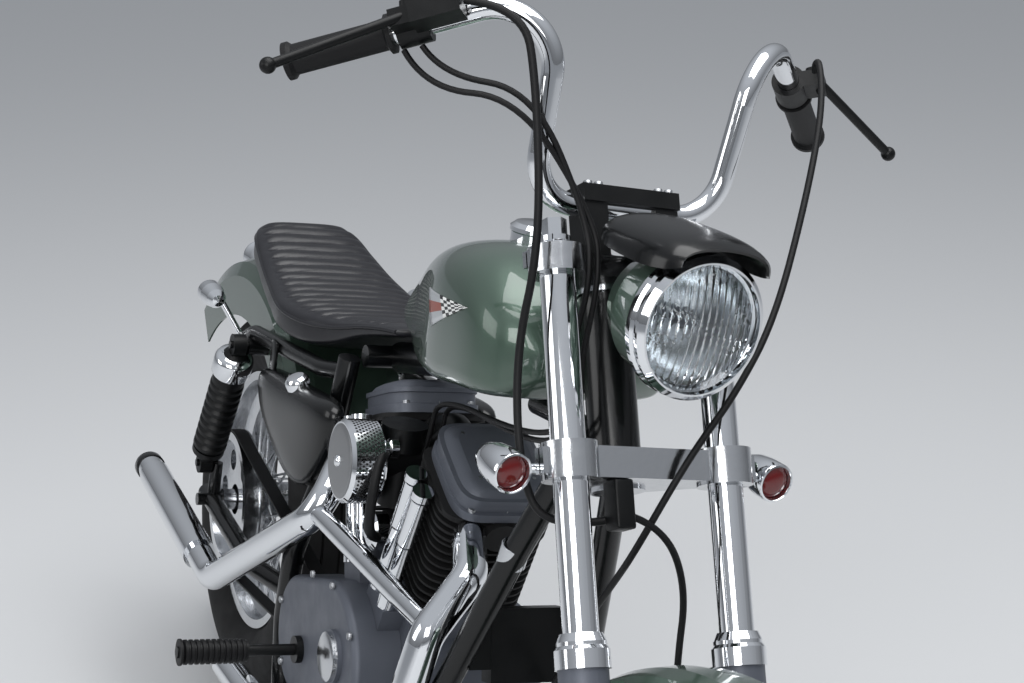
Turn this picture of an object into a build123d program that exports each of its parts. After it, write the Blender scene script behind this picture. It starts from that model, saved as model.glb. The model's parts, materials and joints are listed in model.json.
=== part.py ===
from build123d import *
from collections import namedtuple
import math
import os

# A custom V-twin motorcycle, parked on its side stand, as separate pieces in millimetres and degrees.
# It is laid out upright first: +X forward, +Y left, +Z up, the rear axle above x = 0, the ground at z = 0.
# The last step leans it on its stand and moves it to its own origin, under the middle of its outline.
os.makedirs("parts", exist_ok=True)

# Stance and steering
WHEELBASE = 1530.0
RAKE = 29.6
FORK_OFFSET = 62.5  # fork tubes ahead of the steering axis
STEER_REST = 8.2  # parked with the bars a little to the left
LEAN = 8.5
GAP = 0.3  # between pieces that seat on each other
RUN_GAP = 0.05  # round a shaft that turns in its bore

# Wheels: one row each
Wheel = namedtuple("Wheel", "radius width bead_radius rim_width crown_drop flange_y spacer_y")
FRONT = Wheel(331.0, 100.0, 241.0, 66.0, 22.0, 32.0, 73.7)
REAR = Wheel(320.0, 130.0, 203.0, 90.0, 22.0, 34.0, 102.0)
CROWN_SHARE = 0.42  # half the crown's width, as a share of the tyre's
SPOKES = 40
SPOKE_D = 4.0
HUB_D = 58.0
FLANGE_D = 96.0
AXLE_D = 20.0
DISC_R = 146.0
DISC_T = 5.0

# Fork, measured up the steering axis from the level of the front axle
TUBE_D = 39.0
TUBE_SPACING = 202.0
SLIDER_D = 54.0
SLIDER_TOP = 372.0
DUST_TOP = 387.0
DUST_D = 60.0
LOWER_S = 568.0
UPPER_S = 787.0
CLAMP_H = 40.0
UPPER_H = 30.0
CLAMP_WALL = 12.0
BRIDGE_BACK = 24.0  # half the clamps' width behind the stem, so they pass the frame at full steer
BRIDGE_WAIST = 34.0
CAP_TOP = 834.0
STEM_D = 28.0
NECK_D = 58.0
NECK_BORE = 36.0

# Handlebar corners on the left: x from the steering axis, y, height up the axis
BAR_D = 25.4
BAR_LOW = (50.5, 120.0, 858.0)
BAR_TOP = (168.5, 133.0, 1059.0)
GRIP_IN = (28.5, 276.0, 1040.0)
GRIP_OUT = (-46.0, 357.0, 1019.0)
LEVER_BALL = (29.5, 419.0, 979.0)
BAR_BEND = 62.0
GRIP_D = 34.0
RISER_Y = 47.0

# Headlight
LAMP_X = 167.5
LAMP_S = 698.0
LAMP_D = 160.0
LAMP_DEPTH = 105.0
SIGNAL_Y = 172.0
SIGNAL_D = 38.0

# Engine: crank centre, V angle and distances along each cylinder's axis
CRANK_X = 715.0
CRANK_Z = 340.0
HALF_V = 22.5
CASE_HALF = 70.0
DECK = 168.0
BARREL_TOP = 300.0
HEAD_TOP = 345.0
ROCKER_TOP = 390.0
FIN_LONG = 134.0
FIN_WIDE = 150.0
CAM_FACE = -137.0
PRIMARY_FACE = 137.0

# Frame tubes
FRAME_D = 32.0
RAIL_Y = 112.0
RAIL_Z = 168.0
PIVOT_X = 440.0
PIVOT_Z = 300.0
SHOCK_Y = 139.0
SHOCK_TOP = (126.0, 621.0)
SHOCK_LOW = (4.0, 385.0)

# Exhaust
HEADER_D = 44.0
MUFFLER_D = 51.0
CROSSOVER_D = 28.0

# Tank, seat and fenders: sections from back to front, x, half width, bottom and top
Section = namedtuple("Section", "x half low high")
TANK = [
    Section(545, 34, 786, 826), Section(580, 46, 782, 862), Section(650, 62, 780, 905),
    Section(750, 90, 780, 950), Section(870, 121, 788, 982), Section(945, 124, 797, 992),
    Section(980, 106, 812, 982), Section(992, 78, 830, 962),
]
SEAT = [
    Section(-118, 62, 742, 758), Section(-95, 88, 733, 772), Section(-40, 112, 729, 786),
    Section(40, 124, 726, 764), Section(150, 132, 704, 737), Section(300, 118, 694, 735),
    Section(430, 80, 717, 752), Section(510, 54, 751, 769), Section(536, 36, 757.6, 767),
]
FENDER_R = 402.0
FENDER_HALF = 92.0
FENDER_T = 3.0
FRONT_FENDER_R = 352.0
FRONT_FENDER_HALF = 60.0

rake = math.radians(RAKE)
FORK_BASE = (WHEELBASE - FORK_OFFSET * math.cos(rake), 0, FRONT.radius - FORK_OFFSET * math.sin(rake))
FORK = Location(FORK_BASE) * Rot(Y=-RAKE) * Rot(Z=STEER_REST)
NECK = Location(FORK_BASE) * Rot(Y=-RAKE)
REAR_AXLE = Location((0, 0, REAR.radius))

nodes = {}


def tube(points, diameter, radii=None):
    """A round bar along straight runs joined by arcs."""
    path = Line(*points) if len(points) == 2 else FilletPolyline(*points, radius=radii)
    section = Plane(origin=path @ 0, z_dir=path % 0) * Circle(diameter / 2)
    return sweep(section, path=path)


def rod(a, b, diameter):
    """A straight round bar from a to b."""
    return tube([a, b], diameter)


def turned(points, axis_to=None):
    """A solid turned about Z from (radius, height) points."""
    return revolve(Plane.XZ * make_face(Polyline(*points, close=True)), Axis.Z)


def slab(sketch, y_low, y_high):
    """An (x, z) sketch made solid between two y values."""
    plane = Plane(origin=(0, y_high, 0), x_dir=(1, 0, 0), z_dir=(0, -1, 0))
    return extrude(plane * sketch, y_high - y_low)


def two_rounds(c1, r1, c2, r2):
    """The outline of a belt round two circles."""
    dx, dz = c2[0] - c1[0], c2[1] - c1[1]
    along = math.atan2(dz, dx)
    open_angle = math.acos((r1 - r2) / math.hypot(dx, dz))
    corners = []
    for centre, r, sign in ((c1, r1, 1), (c2, r2, 1), (c2, r2, -1), (c1, r1, -1)):
        a = along + sign * open_angle
        corners.append((centre[0] + r * math.cos(a), centre[1] + r * math.sin(a)))
    body = make_face(Polyline(*corners, close=True))
    return body + Pos(*c1) * Circle(r1) + Pos(*c2) * Circle(r2)


def mirrored(point):
    return (point[0], -point[1], point[2])


def both_sides(solid):
    """The solid and its mirror image in the XZ plane."""
    return Compound(children=[solid, mirror(solid, about=Plane.XZ)])


def shifted(point, other, amount):
    """The point moved toward another one by an amount."""
    d = Vector(*other) - Vector(*point)
    return tuple(Vector(*point) + d.normalized() * amount)


# Wheels

def crown_radius(w):
    half = CROWN_SHARE * w.width
    return (half**2 + w.crown_drop**2) / (2 * w.crown_drop)


def tyre(w):
    """A hollow tyre about Z: bead, bulging side and crown, with three tread grooves."""
    bead, b = w.bead_radius, w.rim_width / 2
    half, wall = w.width / 2, 9.0
    shoulder = (w.radius - w.crown_drop, CROWN_SHARE * w.width)
    side = ((bead + shoulder[0]) / 2 + 6, half)
    foot_out, foot_in = (bead + GAP, b - 5.5), (bead + GAP, b - 15)
    lip, inner_lip = (bead + 10, b - 4.5), (bead + 14, b - 12.5)
    inner_side = (side[0], half - wall)
    inner_top = (w.radius - wall - 4, 0)
    inner_shoulder = (shoulder[0] - wall, shoulder[1] - wall)

    def flip(p):
        return (p[0], -p[1])

    edges = [
        Line(foot_in, foot_out), Line(foot_out, lip), ThreePointArc(lip, side, shoulder),
        ThreePointArc(shoulder, (w.radius, 0), flip(shoulder)),
        ThreePointArc(flip(shoulder), flip(side), flip(lip)), Line(flip(lip), flip(foot_out)),
        Line(flip(foot_out), flip(foot_in)),
        Line(flip(foot_in), flip(inner_lip)),
        ThreePointArc(flip(inner_lip), flip(inner_side), flip(inner_shoulder)),
        ThreePointArc(flip(inner_shoulder), inner_top, inner_shoulder),
        ThreePointArc(inner_shoulder, inner_side, inner_lip), Line(inner_lip, foot_in),
    ]
    solid = revolve(Plane.XZ * make_face(Wire(edges)), Axis.Z)
    for h in (-0.2 * w.width, 0, 0.2 * w.width):
        depth = crown_radius(w) - math.sqrt(crown_radius(w) ** 2 - h**2) + 4
        solid -= turned([(w.radius - depth, h - 2), (w.radius + 5, h - 2),
                         (w.radius + 5, h + 2), (w.radius - depth, h + 2)])
    return solid


def wire_wheel(w):
    """Rim, laced spokes and hub about Z, as one piece."""
    bead, b = w.bead_radius, w.rim_width / 2
    half_rim = [(bead + 9, b), (bead + 9, b - 4), (bead, b - 5), (bead, b * 0.5), (bead - 14, b * 0.3)]
    half_back = [(bead - 20, b * 0.25), (bead - 5, b * 0.45), (bead - 5, b - 1)]
    outline = half_rim + [(r, -h) for r, h in reversed(half_rim)]
    outline += [(r, -h) for r, h in reversed(half_back)] + half_back
    rim = turned(outline)
    half_hub = [(AXLE_D / 2 + RUN_GAP, w.spacer_y), (17, w.spacer_y), (17, w.flange_y + 18),
                (HUB_D / 2 - 3, w.flange_y + 18), (HUB_D / 2, w.flange_y + 3),
                (FLANGE_D / 2, w.flange_y + 3), (FLANGE_D / 2, w.flange_y - 3),
                (HUB_D / 2, w.flange_y - 6)]
    hub = turned(half_hub + [(r, -h) for r, h in reversed(half_hub)])
    spokes = []
    for k in range(SPOKES):
        side = 1 if k % 2 else -1
        turn = 1 if (k // 2) % 2 else -1
        at_rim = math.radians(360 / SPOKES * k)
        at_hub = at_rim + turn * math.radians(42)
        inner = FLANGE_D / 2 - 6
        outer = bead - 16
        spokes.append(rod((inner * math.cos(at_hub), inner * math.sin(at_hub), side * w.flange_y),
                          (outer * math.cos(at_rim), outer * math.sin(at_rim), side * 4), SPOKE_D))
    return rim.fuse(hub, *spokes)


def brake_disc(y, radius, hub_face):
    """A drilled ring and its carrier, standing off the hub's face."""
    ring = Pos(0, 0, y) * extrude(Circle(radius) - Circle(radius - 42), DISC_T)
    ring -= PolarLocations(radius - 20, 12) * (Pos(0, 0, y + DISC_T / 2) * Cylinder(5, DISC_T + 2))
    carrier = turned([(HUB_D / 2 - 4, hub_face - 2), (radius - 40, y), (radius - 40, y + DISC_T),
                      (HUB_D / 2 - 4, y + DISC_T)])
    carrier -= PolarLocations((radius - 40 + HUB_D / 2) / 2, 6) * (Pos(0, 0, y) * Cylinder(14, 60))
    return ring + carrier


on_axle = Rot(X=-90)
front_axle = FORK * Pos(FORK_OFFSET, 0, 0) * on_axle
rear_axle = REAR_AXLE * on_axle
PULLEY_R = 112.0
PULLEY_Y = -82.0
BELT_W = 22.0
front_hub_face = FRONT.flange_y + 18
rear_hub_face = REAR.flange_y + 18
front_disc = brake_disc(60.0, DISC_R, front_hub_face)
rear_disc = brake_disc(72.0, DISC_R, rear_hub_face)
pulley = turned([(HUB_D / 2 - 4, -rear_hub_face + 2), (PULLEY_R - 8, PULLEY_Y + BELT_W / 2 + 4),
                 (PULLEY_R + 4, PULLEY_Y + BELT_W / 2 + 4), (PULLEY_R + 4, PULLEY_Y + BELT_W / 2 + 1),
                 (PULLEY_R, PULLEY_Y + BELT_W / 2 + 1), (PULLEY_R, PULLEY_Y - BELT_W / 2 - 1),
                 (PULLEY_R - 14, PULLEY_Y - BELT_W / 2 - 1), (PULLEY_R - 14, PULLEY_Y + 2),
                 (HUB_D / 2 - 4, PULLEY_Y + 2)])
pulley -= PolarLocations(66, 6) * (Pos(0, 0, PULLEY_Y) * Cylinder(17, 90))
nodes["front_wheel"] = front_axle * (wire_wheel(FRONT) + front_disc)
nodes["front_tyre"] = front_axle * tyre(FRONT)
nodes["rear_wheel"] = rear_axle * (wire_wheel(REAR) + rear_disc + pulley)
nodes["rear_tyre"] = rear_axle * tyre(REAR)

# Fork: built about the steering axis, x forward of it and z up it

HALF_SPACING = TUBE_SPACING / 2


def at_tubes(solid):
    """The solid at both fork tubes, left first."""
    return [Pos(FORK_OFFSET, side * HALF_SPACING, 0) * solid for side in (1, -1)]


def triple_clamp(level, height, front_reach, back_reach):
    """A cast bar with a split boss round each fork tube and one round the stem."""
    boss_r = TUBE_D / 2 + CLAMP_WALL
    right = [(-back_reach, -BRIDGE_BACK), (BRIDGE_WAIST, -HALF_SPACING), (front_reach, -HALF_SPACING)]
    outline = Polyline(*right, *[(x, -y) for x, y in reversed(right)], close=True)
    bridge = Pos(0, 0, level - height / 2 + 3) * extrude(make_face(outline), height - 6)
    solid = bridge + Pos(0, 0, level) * Cylinder(NECK_D / 2 + 2, height)
    for side in (1, -1):
        at = Pos(FORK_OFFSET, side * HALF_SPACING, level)
        solid += at * Cylinder(boss_r, height)
        solid += at * Pos(0, side * boss_r, 0) * Box(16, 12, height - 12)
    for side in (1, -1):
        at = Pos(FORK_OFFSET, side * HALF_SPACING, level)
        solid -= at * Cylinder(TUBE_D / 2 + GAP, height + 2)
        solid -= at * Pos(0, side * boss_r, 0) * Box(2.4, 40, height + 2)
    return solid


stem_low = LOWER_S + CLAMP_H / 2
stem_top = UPPER_S + UPPER_H / 2
neck_low = stem_low + 2
neck_top = UPPER_S - UPPER_H / 2 - 2
lower_clamp = triple_clamp(LOWER_S, CLAMP_H, FORK_OFFSET + 12, 20)
lower_clamp += turned([(0, LOWER_S), (STEM_D / 2, LOWER_S), (STEM_D / 2, stem_top + 12),
                       (0, stem_top + 12)])
for low, high in ((neck_low, neck_low + 18), (neck_top - 18, neck_top)):
    lower_clamp += Pos(0, 0, (low + high) / 2) * Cylinder(NECK_BORE / 2 - RUN_GAP, high - low)
nodes["lower_clamp"] = FORK * lower_clamp
upper_clamp = triple_clamp(UPPER_S, UPPER_H, FORK_OFFSET + 6, 20)
upper_clamp -= Pos(0, 0, UPPER_S) * Cylinder(STEM_D / 2 + GAP, UPPER_H + 2)
nut = Pos(0, 0, stem_top + 7 + GAP) * (extrude(RegularPolygon(20, 6), 14, both=False))
nut -= Pos(0, 0, stem_top + 10) * Cylinder(STEM_D / 2 + GAP, 40)
nodes["upper_clamp"] = FORK * (upper_clamp + Pos(0, 0, -7 - GAP) * nut)

hex_low = stem_top + 4
cap_steps = [(0, 245), (TUBE_D / 2, 245), (TUBE_D / 2, hex_low), (TUBE_D / 2 - 2, hex_low + 2),
             (TUBE_D / 2 - 2, hex_low + 8), (0, hex_low + 8)]
tube_solid = turned(cap_steps) + Pos(0, 0, hex_low + 6) * extrude(RegularPolygon(14, 6), CAP_TOP - hex_low - 6)
nodes["fork_tubes"] = Compound(children=[FORK * t for t in at_tubes(tube_solid)])

slider = turned([(0, -34), (SLIDER_D / 2 - 8, -34), (SLIDER_D / 2 - 2, -24), (SLIDER_D / 2 - 2, 250),
                 (SLIDER_D / 2, 262), (SLIDER_D / 2, SLIDER_TOP - GAP), (TUBE_D / 2 + GAP, SLIDER_TOP - GAP),
                 (TUBE_D / 2 + GAP, 245 - GAP), (0, 245 - GAP)])
sliders = [t for t in at_tubes(slider)]
axle = Pos(FORK_OFFSET, 0, 0) * Rot(X=90) * Cylinder(AXLE_D / 2, TUBE_SPACING + SLIDER_D + 10)
nodes["fork_sliders"] = FORK * (axle.fuse(*sliders))
dust = turned([(TUBE_D / 2 + GAP, SLIDER_TOP), (SLIDER_D / 2 + GAP, SLIDER_TOP),
               (SLIDER_D / 2 + GAP, SLIDER_TOP - 22), (DUST_D / 2, SLIDER_TOP - 22),
               (DUST_D / 2, SLIDER_TOP - 2), (DUST_D / 2 - 3, SLIDER_TOP + 2),
               (DUST_D / 2 - 3, SLIDER_TOP + 6), (DUST_D / 2 - 7, DUST_TOP),
               (TUBE_D / 2 + GAP, DUST_TOP)])
nodes["dust_covers"] = Compound(children=[FORK * t for t in at_tubes(dust)])

# Front fender over the tyre, on a stay to each slider
def fender_shell(radius, half, thick, skirt, start, arc):
    """Part of a turned mudguard about Z: a rounded crown and straight sides."""
    def section(r, h, low):
        round_r = min(h * 0.62, 34)
        return [(low, h), (r - round_r, h), (r - round_r * 0.3, h - round_r * 0.32),
                (r - 2, h - round_r), (r, 0), (r - 2, -h + round_r),
                (r - round_r * 0.3, -h + round_r * 0.32), (r - round_r, -h), (low, -h)]
    outer = section(radius, half, radius - skirt)
    inner = section(radius - thick, half - thick, radius - skirt)
    face = make_face(Polyline(*outer, *reversed(inner), close=True))
    return Rot(Z=start) * revolve(Plane.XZ * face, Axis.Z, revolution_arc=arc)


front_fender = front_axle * fender_shell(FRONT_FENDER_R, FRONT_FENDER_HALF, 2.5, 40, -150, 130)
stay_x = FORK_OFFSET
for side in (1, -1):
    stay = Pos(FORK_OFFSET - 10, side * (FRONT_FENDER_HALF + 10), 315) * Box(46, 20, 44)
    stay -= Pos(FORK_OFFSET, side * HALF_SPACING, 315) * Cylinder(SLIDER_D / 2 + GAP, 80)
    front_fender += FORK * stay
nodes["front_fender"] = front_fender

# Front caliper behind the left slider, straddling the disc
disc_mid = 60.0 + DISC_T / 2
caliper = Pos(FORK_OFFSET - 116, disc_mid, 62) * Rot(Y=-28) * Box(56, 44, 104)
caliper -= Pos(FORK_OFFSET, disc_mid, 0) * Rot(X=90) * Cylinder(DISC_R + 6, DISC_T + 10)
caliper += Pos(FORK_OFFSET - 62, 88, 96) * Box(72, 9, 30)
caliper -= Pos(FORK_OFFSET, HALF_SPACING, 96) * Cylinder(SLIDER_D / 2 - 2 + GAP, 80)
nodes["front_caliper"] = FORK * caliper

# Headlight: bucket, rim and lens turned about a level axis
lamp = FORK * Pos(LAMP_X, 0, LAMP_S) * Rot(Y=90 + RAKE)
R = LAMP_D / 2
nodes["headlight_bucket"] = lamp * turned([
    (0, -LAMP_DEPTH), (34, -LAMP_DEPTH), (56, -LAMP_DEPTH + 16), (70, -LAMP_DEPTH + 48),
    (R - 6, -22), (R - 6, -14 - GAP), (R - 12, -14 - GAP), (64, -LAMP_DEPTH + 52), (50, -LAMP_DEPTH + 22),
    (0, -LAMP_DEPTH + 8)])
nodes["headlight_rim"] = lamp * turned([
    (R - 14, -14), (R - 2, -14), (R, -11), (R, -4), (R - 3, -1), (R - 3, 3), (R - 1, 6), (R - 1, 10),
    (R - 7, 16), (R - 9, 16), (R - 9, 4), (R - 14, 4)])
lens_r = R - 9 - GAP
nodes["headlight_lens"] = lamp * turned([
    (0, 20), (lens_r * 0.35, 18.6), (lens_r * 0.7, 14), (lens_r, 7), (lens_r, 4 + GAP), (R - 14, 4 + GAP),
    (lens_r * 0.7, 9), (lens_r * 0.35, 13.6), (0, 15)])
visor_shell = Rot(Z=118) * revolve(
    Plane.XZ * make_face(Polyline((R + GAP, -26), (R + 3, -26), (R + 3, 14), (R - 1, 34), (R - 3.5, 33),
                                  (R + GAP, 14), close=True)), Axis.Z, revolution_arc=124)
visor = lamp * visor_shell
clamp_front = FORK_OFFSET + 6 + GAP
visor_arm = slab(make_face(Polyline((clamp_front, 790), (clamp_front, 800), (150, 808), (204, 784), (190, 776),
                                    (148, 800), (100, 791), close=True)), -30, 30)
nodes["headlight_visor"] = visor + FORK * visor_arm

# Signals under the lower clamp
signals = []
for side in (1, -1):
    pod = turned([(0, -46), (9, -44), (15, -30), (SIGNAL_D / 2, -6), (SIGNAL_D / 2, 14), (SIGNAL_D / 2 - 3, 14),
                  (SIGNAL_D / 2 - 3, 8), (0, 12)])
    pod_at = Pos(FORK_OFFSET - 12, side * SIGNAL_Y, LOWER_S - 8)
    stalk = rod((FORK_OFFSET - 4, side * (HALF_SPACING + TUBE_D / 2 + CLAMP_WALL + 6 + 2), LOWER_S - 6),
                (FORK_OFFSET - 14, side * (SIGNAL_Y - 10), LOWER_S - 8), 12)
    signals.append(FORK * (pod_at * Rot(Y=90 + RAKE) * pod + stalk))
nodes["front_signals"] = Compound(children=signals)

# Handlebar, risers, grips and levers
def bar_points():
    left = [BAR_LOW, BAR_TOP, GRIP_OUT]
    return [mirrored(p) for p in reversed(left)] + left


nodes["handlebar"] = FORK * tube(bar_points(), BAR_D, [BAR_BEND, BAR_BEND * 0.9, BAR_BEND * 0.9, BAR_BEND])
bar_x, bar_s = BAR_LOW[0], BAR_LOW[2]
riser_low = UPPER_S + (UPPER_H - 6) / 2 + GAP
bar_hole = Pos(bar_x, 0, bar_s) * Rot(X=90) * Cylinder(BAR_D / 2 + GAP, 200)
risers = []
for side in (1, -1):
    riser = Pos(bar_x, side * RISER_Y, 0) * Box(34, 30, bar_s - riser_low, align=(
        Align.CENTER, Align.CENTER, Align.MIN)).moved(Location((0, 0, riser_low)))
    risers.append(riser - bar_hole)
top_clamp = Pos(bar_x, 0, bar_s + 11) * Box(40, 2 * RISER_Y + 34, 20 - 2 * GAP) - bar_hole
nodes["bar_clamp"] = Compound(children=[FORK * s for s in (*risers, top_clamp)])

bar_end = Vector(*GRIP_OUT)
bar_run = (bar_end - Vector(*BAR_TOP)).normalized()
grip_len = (bar_end - Vector(*GRIP_IN)).length + 6


def along_bar(distance):
    """A place on the left grip's axis, z pointing out along the bar, measured from the bar's end."""
    return Plane(origin=tuple(bar_end + bar_run * distance), x_dir=(bar_run.Y, -bar_run.X, 0), z_dir=tuple(bar_run))


grip = along_bar(-grip_len) * turned([
    (BAR_D / 2 + GAP, 0), (22, 0), (22, 5), (GRIP_D / 2, 8), (GRIP_D / 2, grip_len - 6), (21, grip_len - 2),
    (21, grip_len + 4), (0, grip_len + 4), (0, grip_len + GAP), (BAR_D / 2 + GAP, grip_len + GAP)])
nodes["grips"] = FORK * both_sides(grip)

perch_at = along_bar(-grip_len - 24)
perch = perch_at * Cylinder(20, 36)
perch += perch_at * Pos(26, 0, 0) * Box(30, 20, 36)
perch -= perch_at * Cylinder(BAR_D / 2 + GAP, 80)
pivot = perch_at * Pos(36, 0, 4)
pivot_p = pivot.origin if hasattr(pivot, "origin") else pivot.position
lever_root = tuple(pivot_p)
lever = tube([lever_root, shifted(lever_root, LEVER_BALL, 60), LEVER_BALL], 11, [30]) if False else rod(
    lever_root, LEVER_BALL, 11)
lever += Pos(*LEVER_BALL) * Sphere(9)
clutch_set = perch + lever
MIRROR_HOLE_R, MIRROR_HOLE_DEEP = 4.0, 12.0
post_p = (perch_at * Pos(28, 0, 0)).position
mirror_post = Pos(*post_p) * Pos(0, 0, 11) * Cylinder(8, 16)
mirror_bore = Pos(*post_p) * Pos(0, 0, 19 - MIRROR_HOLE_DEEP / 2) * Cylinder(MIRROR_HOLE_R, MIRROR_HOLE_DEEP)
clutch_set = clutch_set + mirror_post - mirror_bore
nodes["clutch_lever_set"] = FORK * clutch_set
brake_set = mirror(clutch_set, about=Plane.XZ)
master = mirror(perch_at * Pos(34, 0, -34) * Box(34, 30, 56), about=Plane.XZ)
nodes["brake_lever_set"] = FORK * (brake_set + master)

# Chassis: neck, cradles, rear frame and swingarm
neck_mid = (neck_low + neck_top) / 2
neck = Pos(0, 0, neck_mid) * Cylinder(NECK_D / 2, neck_top - neck_low)
neck_bore = Pos(0, 0, neck_mid) * Cylinder(NECK_BORE / 2, 400)
backbone_front = tuple((NECK * Pos(-10, 0, neck_mid)).position)
BACKBONE_END = (478.0, 0.0, 712.0)
neck_solid = NECK * neck + rod(backbone_front, BACKBONE_END, 44)
neck_solid += rod(tuple((NECK * Pos(-10, 0, neck_low + 20)).position), (960, 0, 800), 26)
neck_solid += Pos(BACKBONE_END[0], 0, BACKBONE_END[2]) * Rot(X=90) * Cylinder(16, 110)
nodes["frame_neck"] = neck_solid - NECK * neck_bore

down_top = tuple((NECK * Pos(-26, 24, neck_low + 26)).position)
DOWN_MID = (1004.0, 96.0, 430.0)
cradle = tube([down_top, (1088, 56, 665), DOWN_MID, (958, RAIL_Y, RAIL_Z), (540, RAIL_Y, RAIL_Z)],
              FRAME_D, [120, 120, 70])
cradle -= NECK * Pos(0, 0, neck_mid) * Cylinder(NECK_D / 2 + GAP, neck_top - neck_low + 2 * GAP)
cradle -= rod(backbone_front, BACKBONE_END, 44 + 2 * GAP)
cradle -= rod(tuple((NECK * Pos(-10, 0, neck_low + 20)).position), (960, 0, 800), 26 + 2 * GAP)
nodes["frame_cradle_left"] = cradle
nodes["frame_cradle_right"] = mirror(cradle, about=Plane.XZ)

upright = tube([(540 - GAP, RAIL_Y, RAIL_Z), (466, RAIL_Y, RAIL_Z), (432, RAIL_Y, 300), (440, RAIL_Y, 408),
                (452, 86, 520), (BACKBONE_END[0] - 4, 76, BACKBONE_END[2] - 4)], FRAME_D, [50, 60, 60, 60])
seat_rail = tube([(466, 78, 684), (410, 92, 672), (120, RAIL_Y, 640), (60, RAIL_Y, 610)], 25, [150, 60])
pivot_boss = rod((PIVOT_X, 78 + GAP, PIVOT_Z), (PIVOT_X, RAIL_Y - 6, PIVOT_Z), 34)
shock_boss = rod((SHOCK_TOP[0], FENDER_HALF + GAP, SHOCK_TOP[1]), (SHOCK_TOP[0], SHOCK_Y - 14, SHOCK_TOP[1]), 30)
shock_pin = rod((SHOCK_TOP[0], 110, SHOCK_TOP[1]), (SHOCK_TOP[0], SHOCK_Y + 14, SHOCK_TOP[1]), 12)
rear_frame = upright + seat_rail + shock_boss + shock_pin + pivot_boss
rear_frame -= Pos(BACKBONE_END[0], 0, BACKBONE_END[2]) * Rot(X=90) * Cylinder(16 + GAP, 110 + 2 * GAP)
nodes["frame_rear_left"] = rear_frame
nodes["frame_rear_right"] = mirror(rear_frame, about=Plane.XZ)

ARM_Y = 118.0
swing = rod((PIVOT_X, -78, PIVOT_Z), (PIVOT_X, 78, PIVOT_Z), 44)
for side in (1, -1):
    swing += tube([(PIVOT_X, side * 58, PIVOT_Z), (PIVOT_X - 62, side * 70, PIVOT_Z + 2),
                   (PIVOT_X - 190, side * (ARM_Y - 2), PIVOT_Z + 6), (-36, side * ARM_Y, REAR.radius)], 30, [60, 60])
    swing += rod((SHOCK_LOW[0], side * ARM_Y, REAR.radius), (SHOCK_LOW[0], side * ARM_Y, SHOCK_LOW[1]), 20)
    swing += rod((SHOCK_LOW[0], side * ARM_Y, SHOCK_LOW[1]),
                 (SHOCK_LOW[0], side * (SHOCK_Y + 14), SHOCK_LOW[1]), 12)
swing += rod((0, -ARM_Y - 26, REAR.radius), (0, ARM_Y + 26, REAR.radius), AXLE_D)
nodes["swingarm"] = swing

# Shocks between the rear frame's bosses and the swingarm's tabs
shock_len = math.hypot(SHOCK_TOP[0] - SHOCK_LOW[0], SHOCK_TOP[1] - SHOCK_LOW[1])
shock_tilt = math.degrees(math.atan2(SHOCK_TOP[0] - SHOCK_LOW[0], SHOCK_TOP[1] - SHOCK_LOW[1]))
coil_low, coil_high, coils = 40.0, shock_len - 78, 9
pitch = (coil_high - coil_low) / coils
spring = [(0, 14), (14, 14), (20, 30), (26, 30), (26, coil_low)]
for k in range(coils):
    z = coil_low + k * pitch
    spring += [(22, z + 0.1), (27, z + pitch * 0.3), (27, z + pitch * 0.7), (22, z + pitch * 0.98)]
spring += [(26, coil_high), (26, coil_high + 8), (24, coil_high + 30), (24, shock_len - 24), (12, shock_len - 14),
           (0, shock_len - 14)]
shock = turned(spring)
for end in (0, shock_len):
    shock += Pos(0, 0, end) * Rot(X=90) * Cylinder(17, 20)
for end in (0, shock_len):
    shock -= Pos(0, 0, end) * Rot(X=90) * Cylinder(6 + GAP, 40)
for side, word in ((1, "left"), (-1, "right")):
    nodes["shock_" + word] = Location((SHOCK_LOW[0], side * SHOCK_Y, SHOCK_LOW[1])) * Rot(Y=shock_tilt) * shock

# Engine: crankcase, covers and two finned cylinders on one crank
def bank(lean):
    """A frame at the crank centre with z up one cylinder's axis."""
    return Location((CRANK_X, 0, CRANK_Z)) * Rot(Y=lean)


SPROCKET = (560.0, 326.0)
SPROCKET_R = 41.6
case = slab(two_rounds((CRANK_X, CRANK_Z), 132, SPROCKET, 82), -CASE_HALF, CASE_HALF)
for lean in (HALF_V, -HALF_V):
    case += bank(lean) * Pos(0, 0, (DECK + 60) / 2) * Box(112, 2 * CASE_HALF, DECK - 60)
    case += bank(lean) * Pos(0, -CASE_HALF - 14, 120) * Box(64, 34, 52)
case += Pos(CRANK_X, 0, 470) * Box(60, 2 * CASE_HALF - 20, 40)
case += rod((SPROCKET[0], -CASE_HALF, SPROCKET[1]), (SPROCKET[0], PULLEY_Y - BELT_W / 2 - 1, SPROCKET[1]), 2 * SPROCKET_R)
nodes["crankcase"] = case
cam = slab(two_rounds((CRANK_X - 5, 350), 112, SPROCKET, 84), CAM_FACE, -CASE_HALF - GAP)
cam = fillet(cam.edges().group_by(Axis.Y)[0], 10)
cam += Pos(735, CAM_FACE - 2, 372) * Rot(X=90) * Cylinder(36, 8)
cam -= slab(Rectangle(3000, 3000), -CASE_HALF - GAP, CASE_HALF)
for lean in (HALF_V, -HALF_V):
    cam -= bank(lean) * Pos(0, -CASE_HALF - 14, 120) * Box(64 + 2 * GAP, 34 + 2 * GAP, 52 + 2 * GAP)
cam -= slab(two_rounds((0, REAR.radius), PULLEY_R + 8, SPROCKET, SPROCKET_R + 9), PULLEY_Y - BELT_W / 2 - 3, -CASE_HALF)
nodes["cam_cover"] = cam
primary = slab(two_rounds((CRANK_X, 335), 98, (570, 314), 103), CASE_HALF + GAP, PRIMARY_FACE)
primary = fillet(primary.edges().group_by(Axis.Y)[-1], 12)
primary += Pos(570, PRIMARY_FACE + 3, 314) * Rot(X=90) * Cylinder(72, 8)
primary += Pos(CRANK_X + 8, PRIMARY_FACE + 2, 335) * Rot(X=90) * Cylinder(34, 6)
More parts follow.
